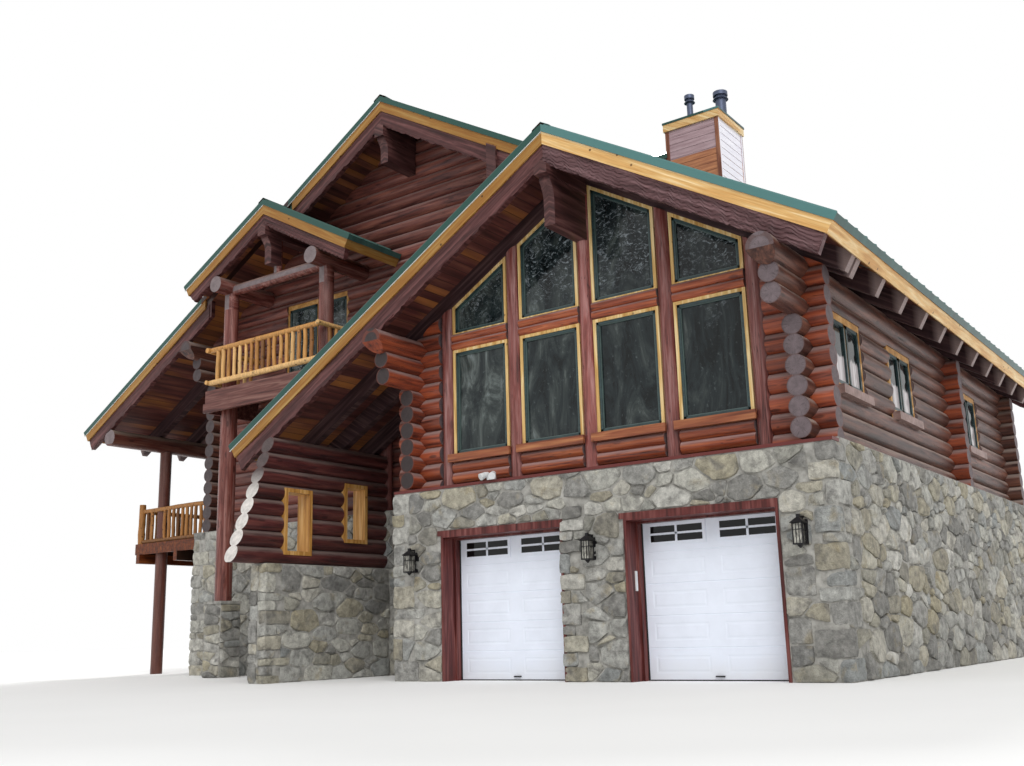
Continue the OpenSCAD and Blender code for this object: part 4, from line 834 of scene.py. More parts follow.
class CHALET_PG_sizes(bpy.types.PropertyGroup):
    """Sizes of what is put on the building"""

    stone_size: length_value("Stone height", 0.215, 0.1, 0.5, "Usual height of a field stone")
    stone_joint: length_value("Mortar joint", 0.012, 0.005, 0.06, "Width of the mortar between two stones")
    stone_relief: length_value("Stone relief", 0.032, 0.005, 0.05, "How far a stone stands out of the mortar")
    rib_gap: length_value("Rib spacing", 0.42, 0.2, 0.8, "Distance between two ribs of the roof's metal")
    rib_height: length_value("Rib height", 0.028, 0.01, 0.06, "How far a rib stands up from the roof")
    pole_bend: length_value("Pole bend", 0.012, 0.0, 0.04, "How far a peeled pole strays from a straight line")
    lap: length_value("Siding course", 0.17, 0.08, 0.3, "Height of one course of the chimney's siding")
    seed: IntProperty(name="Seed", description="Start of the stones' and poles' irregular shapes", default=7)


class CHALET_PG_colours(bpy.types.PropertyGroup):
    """Colours that a user would change"""

    front_logs: colour_value("Front logs", "#7c3b29", "Stain of the logs of both gables")
    side_logs: colour_value("Side logs", "#4d2f27", "Stain of the logs of the side walls")
    pine: colour_value("Pine", "#dcb273", "Varnished pine of the fascia boards and casings")
    barge: colour_value("Barge boards", "#573b3d", "Stain of the hewn boards under the roof's edge")
    roof: colour_value("Roof", "#2c4f4a", "Enamel of the roof's metal")
    stone: colour_value("Stone", "#9c9a93", "Usual colour of the field stones")
    doors: colour_value("Garage doors", "#e9effb", "Enamel of the garage doors")


class CHALET_OT_stage(bpy.types.Operator):
    """Makes the camera, the lamps, the pale floor and the white surroundings"""

    bl_idname = "chalet.stage"
    bl_label = "Stage"

    def execute(self, context):
        # Where the photo was taken from, and how its camera was turned, nodded and tilted
        eye = 14.793, -20.650, 0.741
        yaw, pitch, roll = (math.radians(a) for a in (35.57, 13.12, -1.56))
        ahead = np.array([-math.sin(yaw) * math.cos(pitch), math.cos(yaw) * math.cos(pitch), math.sin(pitch)])
        level = np.array([math.cos(yaw), math.sin(yaw), 0.0])
        upright = np.cross(level, ahead)
        right = math.cos(roll) * level + math.sin(roll) * upright
        up = math.cos(roll) * upright - math.sin(roll) * level
        camera = bpy.data.objects.new("camera", bpy.data.cameras.new("camera"))
        camera.data.sensor_width = 36.0
        camera.data.lens = 37.92
        camera.data.clip_end = 500.0
        pose = np.eye(4)
        pose[:3, 0], pose[:3, 1], pose[:3, 2] = right, up, -ahead
        pose[:3, 3] = eye
        camera.matrix_world = Matrix(pose.tolist())
        context.scene.collection.objects.link(camera)
        context.scene.camera = camera
        # A soft sun behind the left shoulder of the house, and a broad one in front of it
        for name, turn, strength, angle in (("back_sun", (52, 0, 205), 1.5, 12), ("front_sun", (48, 0, 38), 1.6, 40)):
            lamp = bpy.data.lights.new(name, "SUN")
            lamp.energy = strength
            lamp.angle = math.radians(angle)
            sun = bpy.data.objects.new(name, lamp)
            sun.rotation_euler = [math.radians(a) for a in turn]
            context.scene.collection.objects.link(sun)
        world = bpy.data.worlds.new("surroundings")
        world.use_nodes = True
        world.node_tree.nodes.clear()
        node = partial(add, world.node_tree)
        path = node("LightPath", out=None).outputs
        seen = node("Math MAXIMUM", path["Is Camera Ray"], path["Is Glossy Ray"])
        seen = node("Math MAXIMUM", seen, path["Is Transmission Ray"])
        light = node("MapRange", seen, 0.0, 1.0, 0.62, 1.0)
        glow = node("Background", "#ffffff", light)
        node("OutputWorld", glow, out=None)
        context.scene.world = world
        context.scene.view_settings.view_transform = "Standard"
        # Floor: a pale disc at the building's foot
        corners, reach = 64, 140
        t = TAU * np.arange(corners) / corners
        rim = np.stack([np.cos(t) * reach, np.sin(t) * reach, 0 * t], 1)
        mesh = bpy.data.meshes.new("floor")
        mesh.from_pydata(rim.tolist(), [], [list(range(corners))])
        node, where, close = begin("pale_floor", Roughness=0.9)
        cloud = stretched_noise(node, where, (0.2, 0.2, 0.2), 2.0)
        tint = node("ValToRGB", cloud, ramp=[(0.3, "#f4f4f3"), (0.7, "#f8f8f7")])
        close(tint)
        mesh.materials.append(finish("pale_floor"))
        floor = bpy.data.objects.new("floor", mesh)
        context.scene.collection.objects.link(floor)
        return {"FINISHED"}


class CHALET_OT_finishes(bpy.types.Operator):
    """Makes the materials and gives each solid of the frame its own"""

    bl_idname = "chalet.finishes"
    bl_label = "Finishes"

    def execute(self, context):
        make_finishes(context.scene.chalet_colours)
        worn_by = {
            "sand_mortar": ["garage_stone_wall", "right_stone_wall", "main_front_stone_wall", "rear_stone_walls",
                            "porch_stone_wall", "balcony_post_pier"],
            "floor_board": ["main_floor", "upper_floor"], "door_enamel": ["garage_doors"],
            "door_lining": ["garage_door_linings"], "lantern_black": ["wall_lanterns"],
            "front_log_stain": ["crossing_logs"], "main_gable_log_stain": ["main_front_log_wall"],
            "back_log_stain": ["back_log_wall"], "right_log_stain": ["right_log_wall"],
            "wing_log_stain": ["wing_left_log_wall"], "main_log_stain": ["left_log_wall"],
            "porch_log_stain": ["porch_log_wall"], "post_stain": ["window_posts", "porch_corner_post"],
            "balcony_post_stain": ["balcony_frame"], "deck_post_stain": ["deck_posts"],
            "bay_log_stain": ["window_rail_logs"], "sill_board": ["window_sills"],
            "honey_pine": ["fascia_boards"], "cap_pine": ["chimney_cap"], "window_pine": ["front_window_frames"],
            "porch_frame_pine": ["porch_window_frames"],
            "window_glass": ["front_window_glass", "side_window_glass"], "side_frame_pine": ["side_window_frames"],
            "green_roof": ["main_roof_left", "main_roof_right", "front_roof", "balcony_roof", "chimney_saddle"],
            "adzed_board": ["barge_boards"], "adzed_beam": ["ridge_beams"], "adzed_tail": ["rafters"],
            "balcony_board": ["balcony_floor"], "deck_board": ["deck_floor"],
            "peeled_pole": ["balcony_railing", "deck_railing"], "lap_siding": ["chimney_chase"],
            "flue_metal": ["chimney_flues"],
        }
        for name, nodes in worn_by.items():
            for node in nodes:
                slots = NODES[node].material_slots
                if not slots:
                    NODES[node].data.materials.append(finish(name))
                for slot in slots:
                    slot.material = finish(name)
        left = set(NODES) - {n for nodes in worn_by.values() for n in nodes}
        if left:
            raise RuntimeError("no finish for " + ", ".join(sorted(left)))
        return {"FINISHED"}


class CHALET_OT_stones(bpy.types.Operator):
    """Lays the rubble stones on every stone wall"""

    bl_idname = "chalet.stones"
    bl_label = "Rubble stones"

    def execute(self, context):
        sizes = context.scene.chalet_sizes
        rng = np.random.default_rng(sizes.seed)
        size, joint, relief = sizes.stone_size, sizes.stone_joint, sizes.stone_relief
        x, y = np.eye(3)[:2]
        # Faces of the masonry along X and Y, and its tops
        right, left, wing_left = 9.8, -6.77, 1.72
        wing_front, main_front, back = -0.42, 1.83, 12.77
        top, wing_top, porch_top = 3.325, 3.245, 2.125
        # Stones that turn the corners: the corner, the way out of it along X and Y, and the wall's top
        turns, stones = {}, []
        for name, cx, cy, sx, sy, high in (
                ("wing_right", right, wing_front, 1, -1, wing_top),
                ("wing_left", wing_left, wing_front, -1, -1, wing_top),
                ("back_right", right, back, 1, 1, top), ("back_left", left, back, -1, 1, top),
                ("main_left", left, main_front, -1, -1, top), ("porch_left", -0.85, -1.47, -1, -1, porch_top),
                ("porch_right", -0.45, -1.47, 1, -1, porch_top)):
            at, along_x, along_y = corner_stack(rng, high)
            if "porch" in name:
                along_x = np.full(len(along_x), 0.19)
            turns[name] = at, along_x, along_y
            out = rng.uniform(0.5, 1.3, (2, len(along_x))) * relief
            xs = np.sort([cx + sx * out[0], cx - sx * along_x], 0)
            ys = np.sort([cy + sy * out[1], cy - sy * along_y], 0)
            gap = joint * 0.35
            stones.append(boulders(rng, np.stack([xs[0], ys[0], at[:-1] + gap], 1),
                                   np.stack([xs[1], ys[1], at[1:] - gap], 1)))

        def taken(name, axis, far=None):
            """Areas of a wall that the stones of one of its corners take up, from its start or from its far end."""
            at, *reach = turns[name]
            if far is None:
                return [(-1.0, r, a, b) for r, a, b in zip(reach[axis], at[:-1], at[1:])]
            return [(far - r, far + 1.0, a, b) for r, a, b in zip(reach[axis], at[:-1], at[1:])]

        def lay(name, *faces, drawn=1.75):
            """One piece of rubble: each face has its corner, two directions, width, height, the sizes of its stones
            and their relief as parts of the usual ones, and its holes and proud areas."""
            shape, tone = toned([rubble(rng, (*corner, 0), across, out, wide, high, size * part, joint, relief * lift,
                                        *areas, drawn=drawn)
                                 for corner, across, out, wide, high, part, lift, *areas in faces])
            piece(name, shape, "field_stone", tone, smooth=42)

        # Ragged stones that lap over the right jamb of the left door
        at, wide, _ = corner_stack(rng, 2.50, 0.12, 0.34)
        edge = 5.262 + rng.uniform(-0.012, 0.012, len(wide))
        wide = np.clip(wide, 0.18, 0.45)
        face = -0.452 - rng.uniform(0.0, 0.02, len(wide))
        stones.append(boulders(rng, np.stack([edge, face, at[:-1] + 0.006], 1),
                               np.stack([edge + wide, 0 * wide - 0.36, at[1:] - 0.006], 1)))
        # Holes of the garage wall: doors, the ends of their lintels, the jamb's stones and the corners
        front = [(xa - wing_left, xb - wing_left, low, 2.525) for xa, xb, low in (
            (2.802, 5.30, -1.0), (6.437, 8.953, -1.0), (2.725, 2.9, 2.425), (6.36, 6.5, 2.425))]
        front += [(5.1 - wing_left, e + w - wing_left, a, b) for e, w, a, b in zip(edge, wide, at[:-1], at[1:])]
        front += taken("wing_left", 0) + taken("wing_right", 0, 8.08)
        lay("garage_wall_stones",
            ((wing_left, wing_front), x, -y, 8.08, 3.247, 0.95, 1, front, [(3.5, 4.8, 0.0, 2.5, 0.016)]),
            ((wing_left, main_front), -y, -x, 2.25, top, 1, 1,
             taken("wing_left", 1, 2.25) + [(1.98, 3.0, wing_top, 4.0)]))
        lay("right_wall_stones", ((right, wing_front), y, x, 13.19, top, 1, 1.3, taken("wing_right", 1)
                                  + taken("back_right", 1, 13.19) + [(-1.0, 0.27, wing_top, 4.0)]))
        lay("main_front_stones", ((left, main_front), x, -y, 8.49, top, 1, 1.3,
                                  taken("main_left", 0) + [(5.92, 6.32, -1.0, 2.13)]))
        lay("left_wall_stones", ((left, back), -y, -x, 10.94, top, 1, 1.3,
                                 taken("back_left", 1) + taken("main_left", 1, 10.94)))
        lay("back_wall_stones", ((right, back), -x, y, 16.57, top, 1, 1.3,
                                 taken("back_right", 0) + taken("back_left", 0, 16.57)))
        lay("porch_wall_stones", ((-0.85, 1.80), -y, -x, 3.27, porch_top, 0.9, 1, taken("porch_left", 1, 3.27)),
            ((-0.45, -1.47), y, x, 3.27, porch_top, 0.9, 1, taken("porch_right", 1)), drawn=2.1)
        lay("pier_stones", *[(corner, across, out, 0.54, 1.55, 0.85, 1) for corner, across, out in (
            ((-4.85, 0.68), x, -y), ((-4.31, 0.68), y, x), ((-4.31, 1.22), -x, y), ((-4.85, 1.22), -y, -x))])
        shape, tone = toned(stones)
        piece("corner_stones", shape, "field_stone", tone, smooth=50)
        return {"FINISHED"}


class CHALET_OT_roof_metal(bpy.types.Operator):
    """Puts the ribs, ridge caps and drip strips on the roofs"""

    bl_idname = "chalet.roof_metal"
    bl_label = "Roof metal"

    def execute(self, context):
        sizes = context.scene.chalet_sizes
        gap, rise = sizes.rib_gap, sizes.rib_height
        runs = []

        def rows(roof, ya, yb, xa, xb):
            runs.extend((roof, at, xa, xb) for at in np.arange(ya, yb, gap))

        first = -1.215
        rows(WING, first, 1.02, 5.76, 10.445)
        rows(WING, first, 1.02, 5.64, -1.905)
        rows(WING, 1.30, 2.05, 5.2, -1.905)
        # The ribs on the chimney's side make room for its box and stop at its saddle
        for at in np.arange(first + 6 * gap, 13.56, gap):
            aside = abs(at - 5.94)
            if aside < 0.72:
                if aside < 0.66:
                    runs.append((MAIN, at, 6.05, 10.445))
                runs.append((MAIN, at, 0.06, 1.33 + aside))
            else:
                runs.append((MAIN, at, 0.06, 10.445))
        rows(MAIN, first + 6 * gap, 13.56, -0.06, -10.445)
        rows(SMALL, 0.475, 1.0, -3.11, -5.775)
        rows(SMALL, 0.475, 2.05, -2.99, -0.325)
        ribs = []
        for roof, at, xa, xb in runs:
            foot = [(xa, at - 0.022), (xa, at + 0.022), (xb, at + 0.022), (xb, at - 0.022)]
            ribs.append([(px, py, roof_z(roof, px) - 0.004) for px, py in foot]
                        + [(px, at + (py - at) * 0.45, roof_z(roof, px) + rise) for px, py in foot])
        caps = []
        for roof, ya, yb, wide in ((MAIN, 1.03, 13.57, 0.17), (WING, -1.24, 1.03, 0.17), (SMALL, 0.45, 1.03, 0.15)):
            for side in (-1, 1):
                x0, x1 = roof[0], roof[0] + side * wide
                caps.append(on_roof(roof, [(x0, ya), (x1, ya), (x1, yb), (x0, yb)], rise + 0.004, 0.008))
                # Turned-down lip of the cap
                x2, z1 = x1 + side * 0.006, roof_z(roof, x1)
                low = [(x1, ya, z1), (x2, ya, z1 - 0.004), (x2, yb, z1 - 0.004), (x1, yb, z1)]
                caps.append(low + [(px, py, pz + rise + 0.01) for px, py, pz in low])
        piece("roof_ribs", blocks(ribs), "green_roof")
        piece("ridge_caps", blocks(caps), "green_roof")
        drips = []
        for roof, xa, xb, at in ((WING, 5.7, -1.87, -1.24), (MAIN, 0.0, -2.9, 1.03), (MAIN, -5.85, -10.41, 1.03),
                                 (SMALL, -3.05, -5.74, 0.45)):
            foot = [(xa, at + 0.003), (xb, at + 0.003), (xb, at + 0.02), (xa, at + 0.02)]
            drips.append(on_roof(roof, foot, -0.142, 0.013))
        piece("drip_strips", blocks(drips), "drip_edge")
        return {"FINISHED"}


class CHALET_OT_carved_boards(bpy.types.Operator):
    """Carves the fronts of the barge boards"""

    bl_idname = "chalet.carved_boards"
    bl_label = "Carved barge boards"

    def execute(self, context):
        made = []

        def carve(roof, xa, xb, at, upper, lower, pattern, back=0.14, step=0.05, rows=17):
            """Face of one board: distance u from its upper end, plumb depth v, and a height over the plain board
            that the pattern gives from both. Its end slants back by back."""
            n = max(8, int(abs(xb - xa) / step))
            u = np.linspace(0, 1, n)[:, None]
            v = np.linspace(0, 1, rows)[None]
            x = xa + (xb - xa - math.copysign(back, xb - xa) * v) * u
            dist = np.abs(x - xa) / math.cos(math.atan(roof[2]))
            edge, lift = pattern(dist, v + 0 * u)
            z = roof_z(roof, x) - upper - (lower - upper + edge) * v
            front = np.stack([x, at - lift, z], -1)
            behind = np.stack([x, np.full_like(x, at + 0.004), z], -1)
            if xb < xa:
                front, behind = front[::-1], behind[::-1]
            made.append(shells(front[None], behind[None]))

        def waves(u, v):
            """Swags cut with an adze: rows of hanging arcs a quarter of a metre wide, each a step over the next,
            whose widths and depths stray along the board."""
            place = u / 0.27 + 0.5 * np.sin(u * 1.9) + 0.35 * np.sin(u * 4.3 + v * 2.0)
            arc = (2 * (place - np.floor(place)) - 1) ** 2
            row = v * 5.2 + 0.85 * arc + 0.5 * np.sin(u * 2.7 + 1.0) + 0.25 * np.sin(u * 11.0)
            step = row - np.floor(row)
            fine = row * 2.0 + 0.4 * np.sin(u * 6.0)
            lift = 0.006 + 0.016 * step ** 0.8 + 0.005 * (fine - np.floor(fine))
            ragged = 0.016 * np.sin(u * 9.3) + 0.012 * np.sin(u * 21.0 + 1.0) + 0.008 * np.sin(u * 47.0)
            return ragged - 0.008, lift

        def plain(u, v):
            """Plain hewn board: shallow scallops and a ragged lower edge."""
            phase = (u + 0.2 * v) / 0.23 + 0.6 * np.sin(u * 2.3)
            lift = 0.006 + 0.006 * np.abs(np.sin(phase * np.pi)) + 0.004 * np.sin(v * 9 + u * 3)
            ragged = 0.02 * np.sin(u * 12.3) + 0.014 * np.sin(u * 27.1 + 1) + 0.01 * np.sin(u * 51.7)
            return ragged, np.clip(lift, 0.002, 0.03)

        def scales(u, v):
            """Fish scales: rows of arcs, each a shallow step down to the next, and a zigzag lower edge."""
            row = np.floor(v * 4)
            place = u / 0.13 + 0.5 * (row % 2)
            arc = np.abs(place - np.floor(place) - 0.5) * 2
            step = v * 4 - row + 0.35 * arc ** 2
            lift = 0.006 + 0.018 * np.clip(step, 0, 1.2) / 1.2
            zigzag = 0.03 * (np.abs(u / 0.13 - np.floor(u / 0.13) - 0.5) * 2) - 0.015
            return zigzag, lift

        # How far under the roof the wide boards begin and end
        top, foot = 0.34, 0.69
        carve(WING, 5.7, 10.25, -1.18, top, foot, waves, step=0.022, rows=41)
        carve(WING, 5.7, -1.71, -1.18, top, foot, plain)
        carve(MAIN, 0.0, 5.55, 1.09, top, foot, plain, back=0.0)
        carve(MAIN, 0.0, -3.0, 1.09, top, foot, plain, back=0.0)
        carve(MAIN, -5.6, -10.25, 1.09, top, foot, plain)
        carve(SMALL, -3.05, -0.48, 0.51, top, 0.61, scales, back=0.06, step=0.02)
        carve(SMALL, -3.05, -5.62, 0.51, top, 0.61, plain, back=0.2)
        piece("carved_barge_fronts", joined(made), "adzed_board", smooth=40)
        return {"FINISHED"}


class CHALET_OT_garage_doors(bpy.types.Operator):
    """Hangs both sectional doors with pressed panels, small lights, seals, a dark strip of painted shade at each
    leaf's left edge and lifting handles
    """

    bl_idname = "chalet.garage_doors"
    bl_label = "Garage doors"

    def execute(self, context):
        height = DOOR_H / 5
        # Pressed panels: their distance from a section's foot, their width, where each starts, and the places of
        # their steps from the rim inwards
        foot, panel, starts = 0.11, 0.91, (0.17, 1.34)
        stops = np.array([0.0, 0.012, 0.030, 0.052])

        def steps(low, high):
            return np.concatenate([low + stops, (high - stops)[::-1]]).tolist()

        lines_x = [0.0, DOOR_W] + steps(starts[0], starts[0] + panel) + steps(starts[1], starts[1] + panel)
        lines_z = [0.002, DOOR_H - 0.002]
        for base in height * np.arange(4):
            lines_z += steps(base + foot, base + height - foot)
            lines_z += [base + height - 0.008, base + height - 0.003, base + height + 0.003, base + height + 0.008]
        gx, gz = np.meshgrid(np.unique(lines_x), np.unique(lines_z), indexing="ij")
        local = gz % height
        inside_x = np.maximum(*(np.minimum(gx - s, s + panel - gx) for s in starts))
        inside_z = np.where(gz < 4 * height, np.minimum(local - foot, height - foot - local), -1.0)
        inside = np.minimum(inside_x, inside_z)
        # Pressed panel: a groove round it, then a raised field; and an open joint between two sections
        press = np.interp(inside, stops, [0.0, 0.0035, 0.0035, -0.001])
        seam = np.minimum(local, height - local)
        press = np.where((seam < 0.004) & (gz > 0.1) & (gz < DOOR_H - 0.1), 0.006, press)
        doors, frames, panes, seals_and_gap_shade = [], [], [], []
        for left in DOORS_X:
            front = np.stack([left + gx, press, gz], -1)
            back = np.stack([left + gx, np.full_like(gx, 0.045), gz], -1)
            doors.append(shells(front[None], back[None]))
            for start in starts:
                # Light in the top section: its frame is w wide, and two thin bars cross it
                x0, z0 = left + start + 0.012, 4 * height + 0.152
                x1, z1 = x0 + panel - 0.024, z0 + 0.241
                xm, zm, w = (x0 + x1) / 2, (z0 + z1) / 2, 0.052
                edges = [(x0 - w, x1 + w, z0 - w, z0), (x0 - w, x1 + w, z1, z1 + w), (x0 - w, x0, z0, z1),
                         (x1, x1 + w, z0, z1), (xm - 0.018, xm + 0.018, z0, z1), (x0, x1, zm - 0.016, zm + 0.016)]
                frames += [bars((a, -0.012, c), (b, 0.004, d)) for a, b, c, d in edges]
                panes.append(bars((x0, -0.004, z0), (x1, 0.003, z1)))
            # Seal along the foot, a dark strip between the jamb and the leaf that is painted shade of the gap, and
            # lifting handle
            middle = left + DOOR_W / 2
            seals_and_gap_shade.append(bars((left + 0.005, -0.006, 0.0), (left + DOOR_W - 0.005, 0.05, 0.018)))
            seals_and_gap_shade.append(bars((left, -0.016, 0.0), (left + 0.048, 0.002, DOOR_H)))
            seals_and_gap_shade.append(bars((middle - 0.07, -0.03, 0.055), (middle + 0.07, 0.0, 0.075)))
        piece("garage_door_leaves", joined(doors + frames), "door_enamel",
              stands_for=("garage_doors",))
        piece("garage_door_panes", joined(panes), "window_glass")
        piece("garage_door_seals_and_gap_shade", joined(seals_and_gap_shade), "rubber_and_gap_shade")
        return {"FINISHED"}


class CHALET_OT_lanterns(bpy.types.Operator):
    """Makes the three wall lanterns, with plate, arm, cage, cap and glass, and the white fittings near them"""

    bl_idname = "chalet.lanterns"
    bl_label = "Wall lanterns"

    def execute(self, context):
        iron, glass = [], []
        corners = np.array([(-1, -1), (1, -1), (1, 1), (-1, 1)], float)
        for x in (2.22, 5.87, 9.29):
            y, z, w = -0.595, 2.01, 0.068

            def frustum(r0, z0, r1, z1):
                low = [(x + a * r0, y + b * r0, z + z0) for a, b in corners]
                high = [(x + a * r1, y + b * r1, z + z1) for a, b in corners]
                return blocks(low + high)

            iron.append(bars((x - 0.07, -0.462, z - 0.175), (x + 0.07, -0.415, z + 0.175)))
            iron.append(bars((x - 0.02, -0.615, z + 0.196), (x + 0.02, -0.43, z + 0.222)))
            iron.append(bars((x - 0.02, -0.462, z + 0.17), (x + 0.02, -0.43, z + 0.222)))
            iron += [frustum(0.077, -0.175, 0.077, -0.158), frustum(0.070, 0.112, 0.098, 0.124),
                     frustum(0.098, 0.124, 0.030, 0.193), frustum(0.023, 0.193, 0.023, 0.242),
                     frustum(0.007, -0.222, 0.035, -0.175)]
            # Bars of the cage: its corners, two on each side, and a ring below the top
            thin = [(s, t) for s in (-0.33, 0.33) for t in (-1, 1)]
            for a, b in corners.tolist() + thin + [(t, s) for s, t in thin]:
                r = 0.007 if abs(a) == abs(b) else 0.004
                iron.append(bars((x + a * w - r, y + b * w - r, z - 0.16), (x + a * w + r, y + b * w + r, z + 0.115)))
            for a, b in ((1, 0), (-1, 0), (0, 1), (0, -1)):
                c = np.array([x + a * w, y + b * w, z + 0.03])
                s = np.array([0.005 if a else w, 0.005 if b else w, 0.005])
                iron.append(bars(c - s, c + s))
            glass.append(frustum(0.060, -0.158, 0.060, 0.114))
        piece("lantern_cages", joined(iron), "lantern_black", stands_for=("wall_lanterns",))
        piece("lantern_panes", joined(glass), "lantern_glass")
        # Twin floodlight on the ledge and the narrow white box on a door's jamb
        pale = [bars((3.85, -0.47, 3.30), (4.01, -0.42, 3.37))]
        for side in (-1, 1):
            path = np.array([[(3.93 + side * 0.06, -0.45, 3.41), (3.93 + side * 0.085, -0.50, 3.385),
                              (3.93 + side * 0.12, -0.59, 3.34)]])
            pale.append(tubes(path, np.array([[0.028, 0.05, 0.062]]), 14))
        pale.append(bars((6.484, -0.24, 1.34), (6.502, -0.185, 1.64)))
        piece("white_fittings", joined(pale), "pale_plastic", smooth=40)
        return {"FINISHED"}


class CHALET_OT_sashes(bpy.types.Operator):
    """Fits the green sashes inside the pine frames, with thin glazing beads on the window wall"""

    bl_idname = "chalet.sashes"
    bl_label = "Window sashes"

    def execute(self, context):
        solids, beads, log_r = [], [], 0.158
        wide, drop = 0.045, 0.65 + 0.055 * math.hypot(1, SLOPE)

        def ring(xa, xb, z0, tops, t, ya, yb, into):
            """Frame with a level foot, plumb sides and a head between two heights."""
            za, zb = tops
            lean = (zb - za) / (xb - xa)
            into.append(bars((xa, ya, z0), (xb, yb, z0 + t)))
            for x0, x1 in ((xa, xa + t), (xb - t, xb)):
                h0, h1 = za + lean * (x0 - xa), za + lean * (x1 - xa)
                into.append(blocks([(x0, ya, z0), (x1, ya, z0), (x1, yb, z0), (x0, yb, z0),
                                    (x0, ya, h0), (x1, ya, h1), (x1, yb, h1), (x0, yb, h0)]))
            s = t * math.hypot(1, lean)
            into.append(blocks([(xa, ya, za - s), (xb, ya, zb - s), (xb, yb, zb - s), (xa, yb, za - s),
                                (xa, ya, za), (xb, ya, zb), (xb, yb, zb), (xa, yb, za)]))

        for i in range(4):
            xa, xb = POSTS_X[i] + 0.19, POSTS_X[i + 1] - 0.19
            under_roof = roof_z(WING, xa) - drop, roof_z(WING, xb) - drop
            for z0, tops, slope in ((3.91, (5.765, 5.765), 0.0), (6.14, under_roof, SLOPE if i < 2 else -SLOPE)):
                ring(xa, xb, z0, tops, wide, -0.052, 0.03, solids)
                head = wide * math.hypot(1, slope)
                inner = tops[0] - head + wide * slope, tops[1] - head - wide * slope
                ring(xa + wide, xb - wide, z0 + wide, inner, 0.016, -0.038, 0.03, beads)
        piece("window_wall_sashes", joined(solids), "green_sash")
        piece("window_wall_beads", joined(beads), "glazing_bead")
        # The other walls: two sashes to a window, on either side of its middle bar. Each place has its lower
        # corner, the ways along the wall and inwards, and its width and height
        sashes, window = [], (1.34, 1.20)
        right, left, rear = ((0, 1), (-1, 0)), ((0, -1), (1, 0)), ((-1, 0), (0, -1))
        places = [((9.38, y, 4.31), *right, *window) for y in (0.94, 3.74, 8.59)]
        places += [((-6.35, y + 1.34, 4.31), *left, *window) for y in (3.3, 9.1)]
        places += [((-6.35, 7.6, 3.33), *left, 1.90, 2.13), ((-3.98, 2.25, 6.35), (1, 0), (0, 1), 2.0, 2.2)]
        places += [((x + 1.34, 12.35, 4.31), *rear, *window) for x in (-4.67, -0.67, 3.33)]
        places += [((0.67, 12.35, 7.25), *rear, *window)]
        for origin, way, inward, w, h in places:
            turn = np.array([(*way, 0), (*inward, 0), (0, 0, 1)])
            for a, b in ((0.062, w / 2 - 0.031), (w / 2 + 0.031, w - 0.062)):
                parts = []
                ring(a, b, 0.062, (h - 0.11, h - 0.11), 0.058, 0.054 - log_r, 0.088 - log_r, parts)
                points, faces = joined(parts)
                sashes.append((points @ turn + origin, faces))
        piece("side_window_sashes", joined(sashes), "green_sash")
        return {"FINISHED"}


class CHALET_OT_railings(bpy.types.Operator):
    """Makes the peeled pole railings of the balcony and the side deck"""

    bl_idname = "chalet.railings"
    bl_label = "Pole railings"

    def execute(self, context):
        sizes = context.scene.chalet_sizes
        rng = np.random.default_rng(sizes.seed + 2)

        def poles(a, b, radius, steps=9):
            """Poles from a to b: a straight line plus a slow sine each way, and a radius that swells and thins."""
            a, b = np.atleast_2d(np.asarray(a, float)), np.atleast_2d(np.asarray(b, float))
            s = np.linspace(0, 1, steps)
            k = len(a)
            path = a[:, None] + (b - a)[:, None] * s[:, None]
            bend = rng.standard_normal((k, 1, 3)) * sizes.pole_bend * 0.5
            phase = rng.random((k, 1, 3)) * TAU
            sway = bend * (np.sin(phase + s[:, None] * 4.4) - np.sin(phase)) * np.sin(np.pi * s)[:, None]
            size = radius * (1 + 0.042 * rng.standard_normal((k, steps, 12)) + 0.06 * rng.standard_normal((k, 1, 1)))
            size[:, [0, -1]] *= 0.93
            return *tubes(path + sway, size, 12), np.repeat(rng.random(k) ** 0.8, steps * 12)

        def run(start, end, z0, low, high, gap, ends=(0.0, 0.0), post=-1000.0):
            """One stretch of railing: two rails and a row of balusters between them, with none at a house post."""
            start, end = np.array(start, float), np.array(end, float)
            length = np.linalg.norm(end - start)
            way = (end - start) / length
            count = int((length - gap) / gap)
            along = (length - (count - 1) * gap) / 2 + gap * np.arange(count)
            at = start + way * along[np.abs(along - post) > 0.165 + 0.043, None]
            foot, head = (np.insert(at, 2, z0 + level, 1) for level in (low, high))
            a, b = start - way * ends[0], end + way * ends[1]
            rails = poles([(*a, z0 + low), (*a, z0 + high)], [(*b, z0 + low), (*b, z0 + high)], 0.058, 25)
            return [rails, poles(foot, head, 0.043)]

        def poled(name, made, stands_for):
            shape, tone = toned(made)
            piece(name, shape, "peeled_pole", tone, (stands_for,), 40)

        # Height of the floor, of the middles of both rails over it, and the balusters' spacing
        balcony, deck = (6.35, 0.198, 0.962, 0.19), (3.33, 0.058, 0.862, 0.18)
        made = run((-4.90, 0.62), (-1.31, 0.62), *balcony)
        for x in (-4.90, -1.31):
            made += run((x, 0.62), (x, 2.085), *balcony, (0.105, 0.0))
        poled("balcony_poles", made, "balcony_railing")
        corner, front, back, wall = -10.105, 2.70, 12.21, -6.77
        post = -9.38 - corner - 0.06
        made = run((corner + 0.06, front), (wall, front), *deck, post=post)
        made += run((corner, front + 0.06), (corner, back), *deck)
        made += run((corner + 0.06, back), (wall, back), *deck, post=post)
        made += [poles([(corner, y, 3.33)], [(corner, y, 4.38)], 0.083) for y in (front, back)]
        # The deck's poles get darker tones than the balcony's, as painted shade of the deck
        poled("deck_poles", [(points, faces, tone * 0.25) for points, faces, tone in made], "deck_railing")
        return {"FINISHED"}


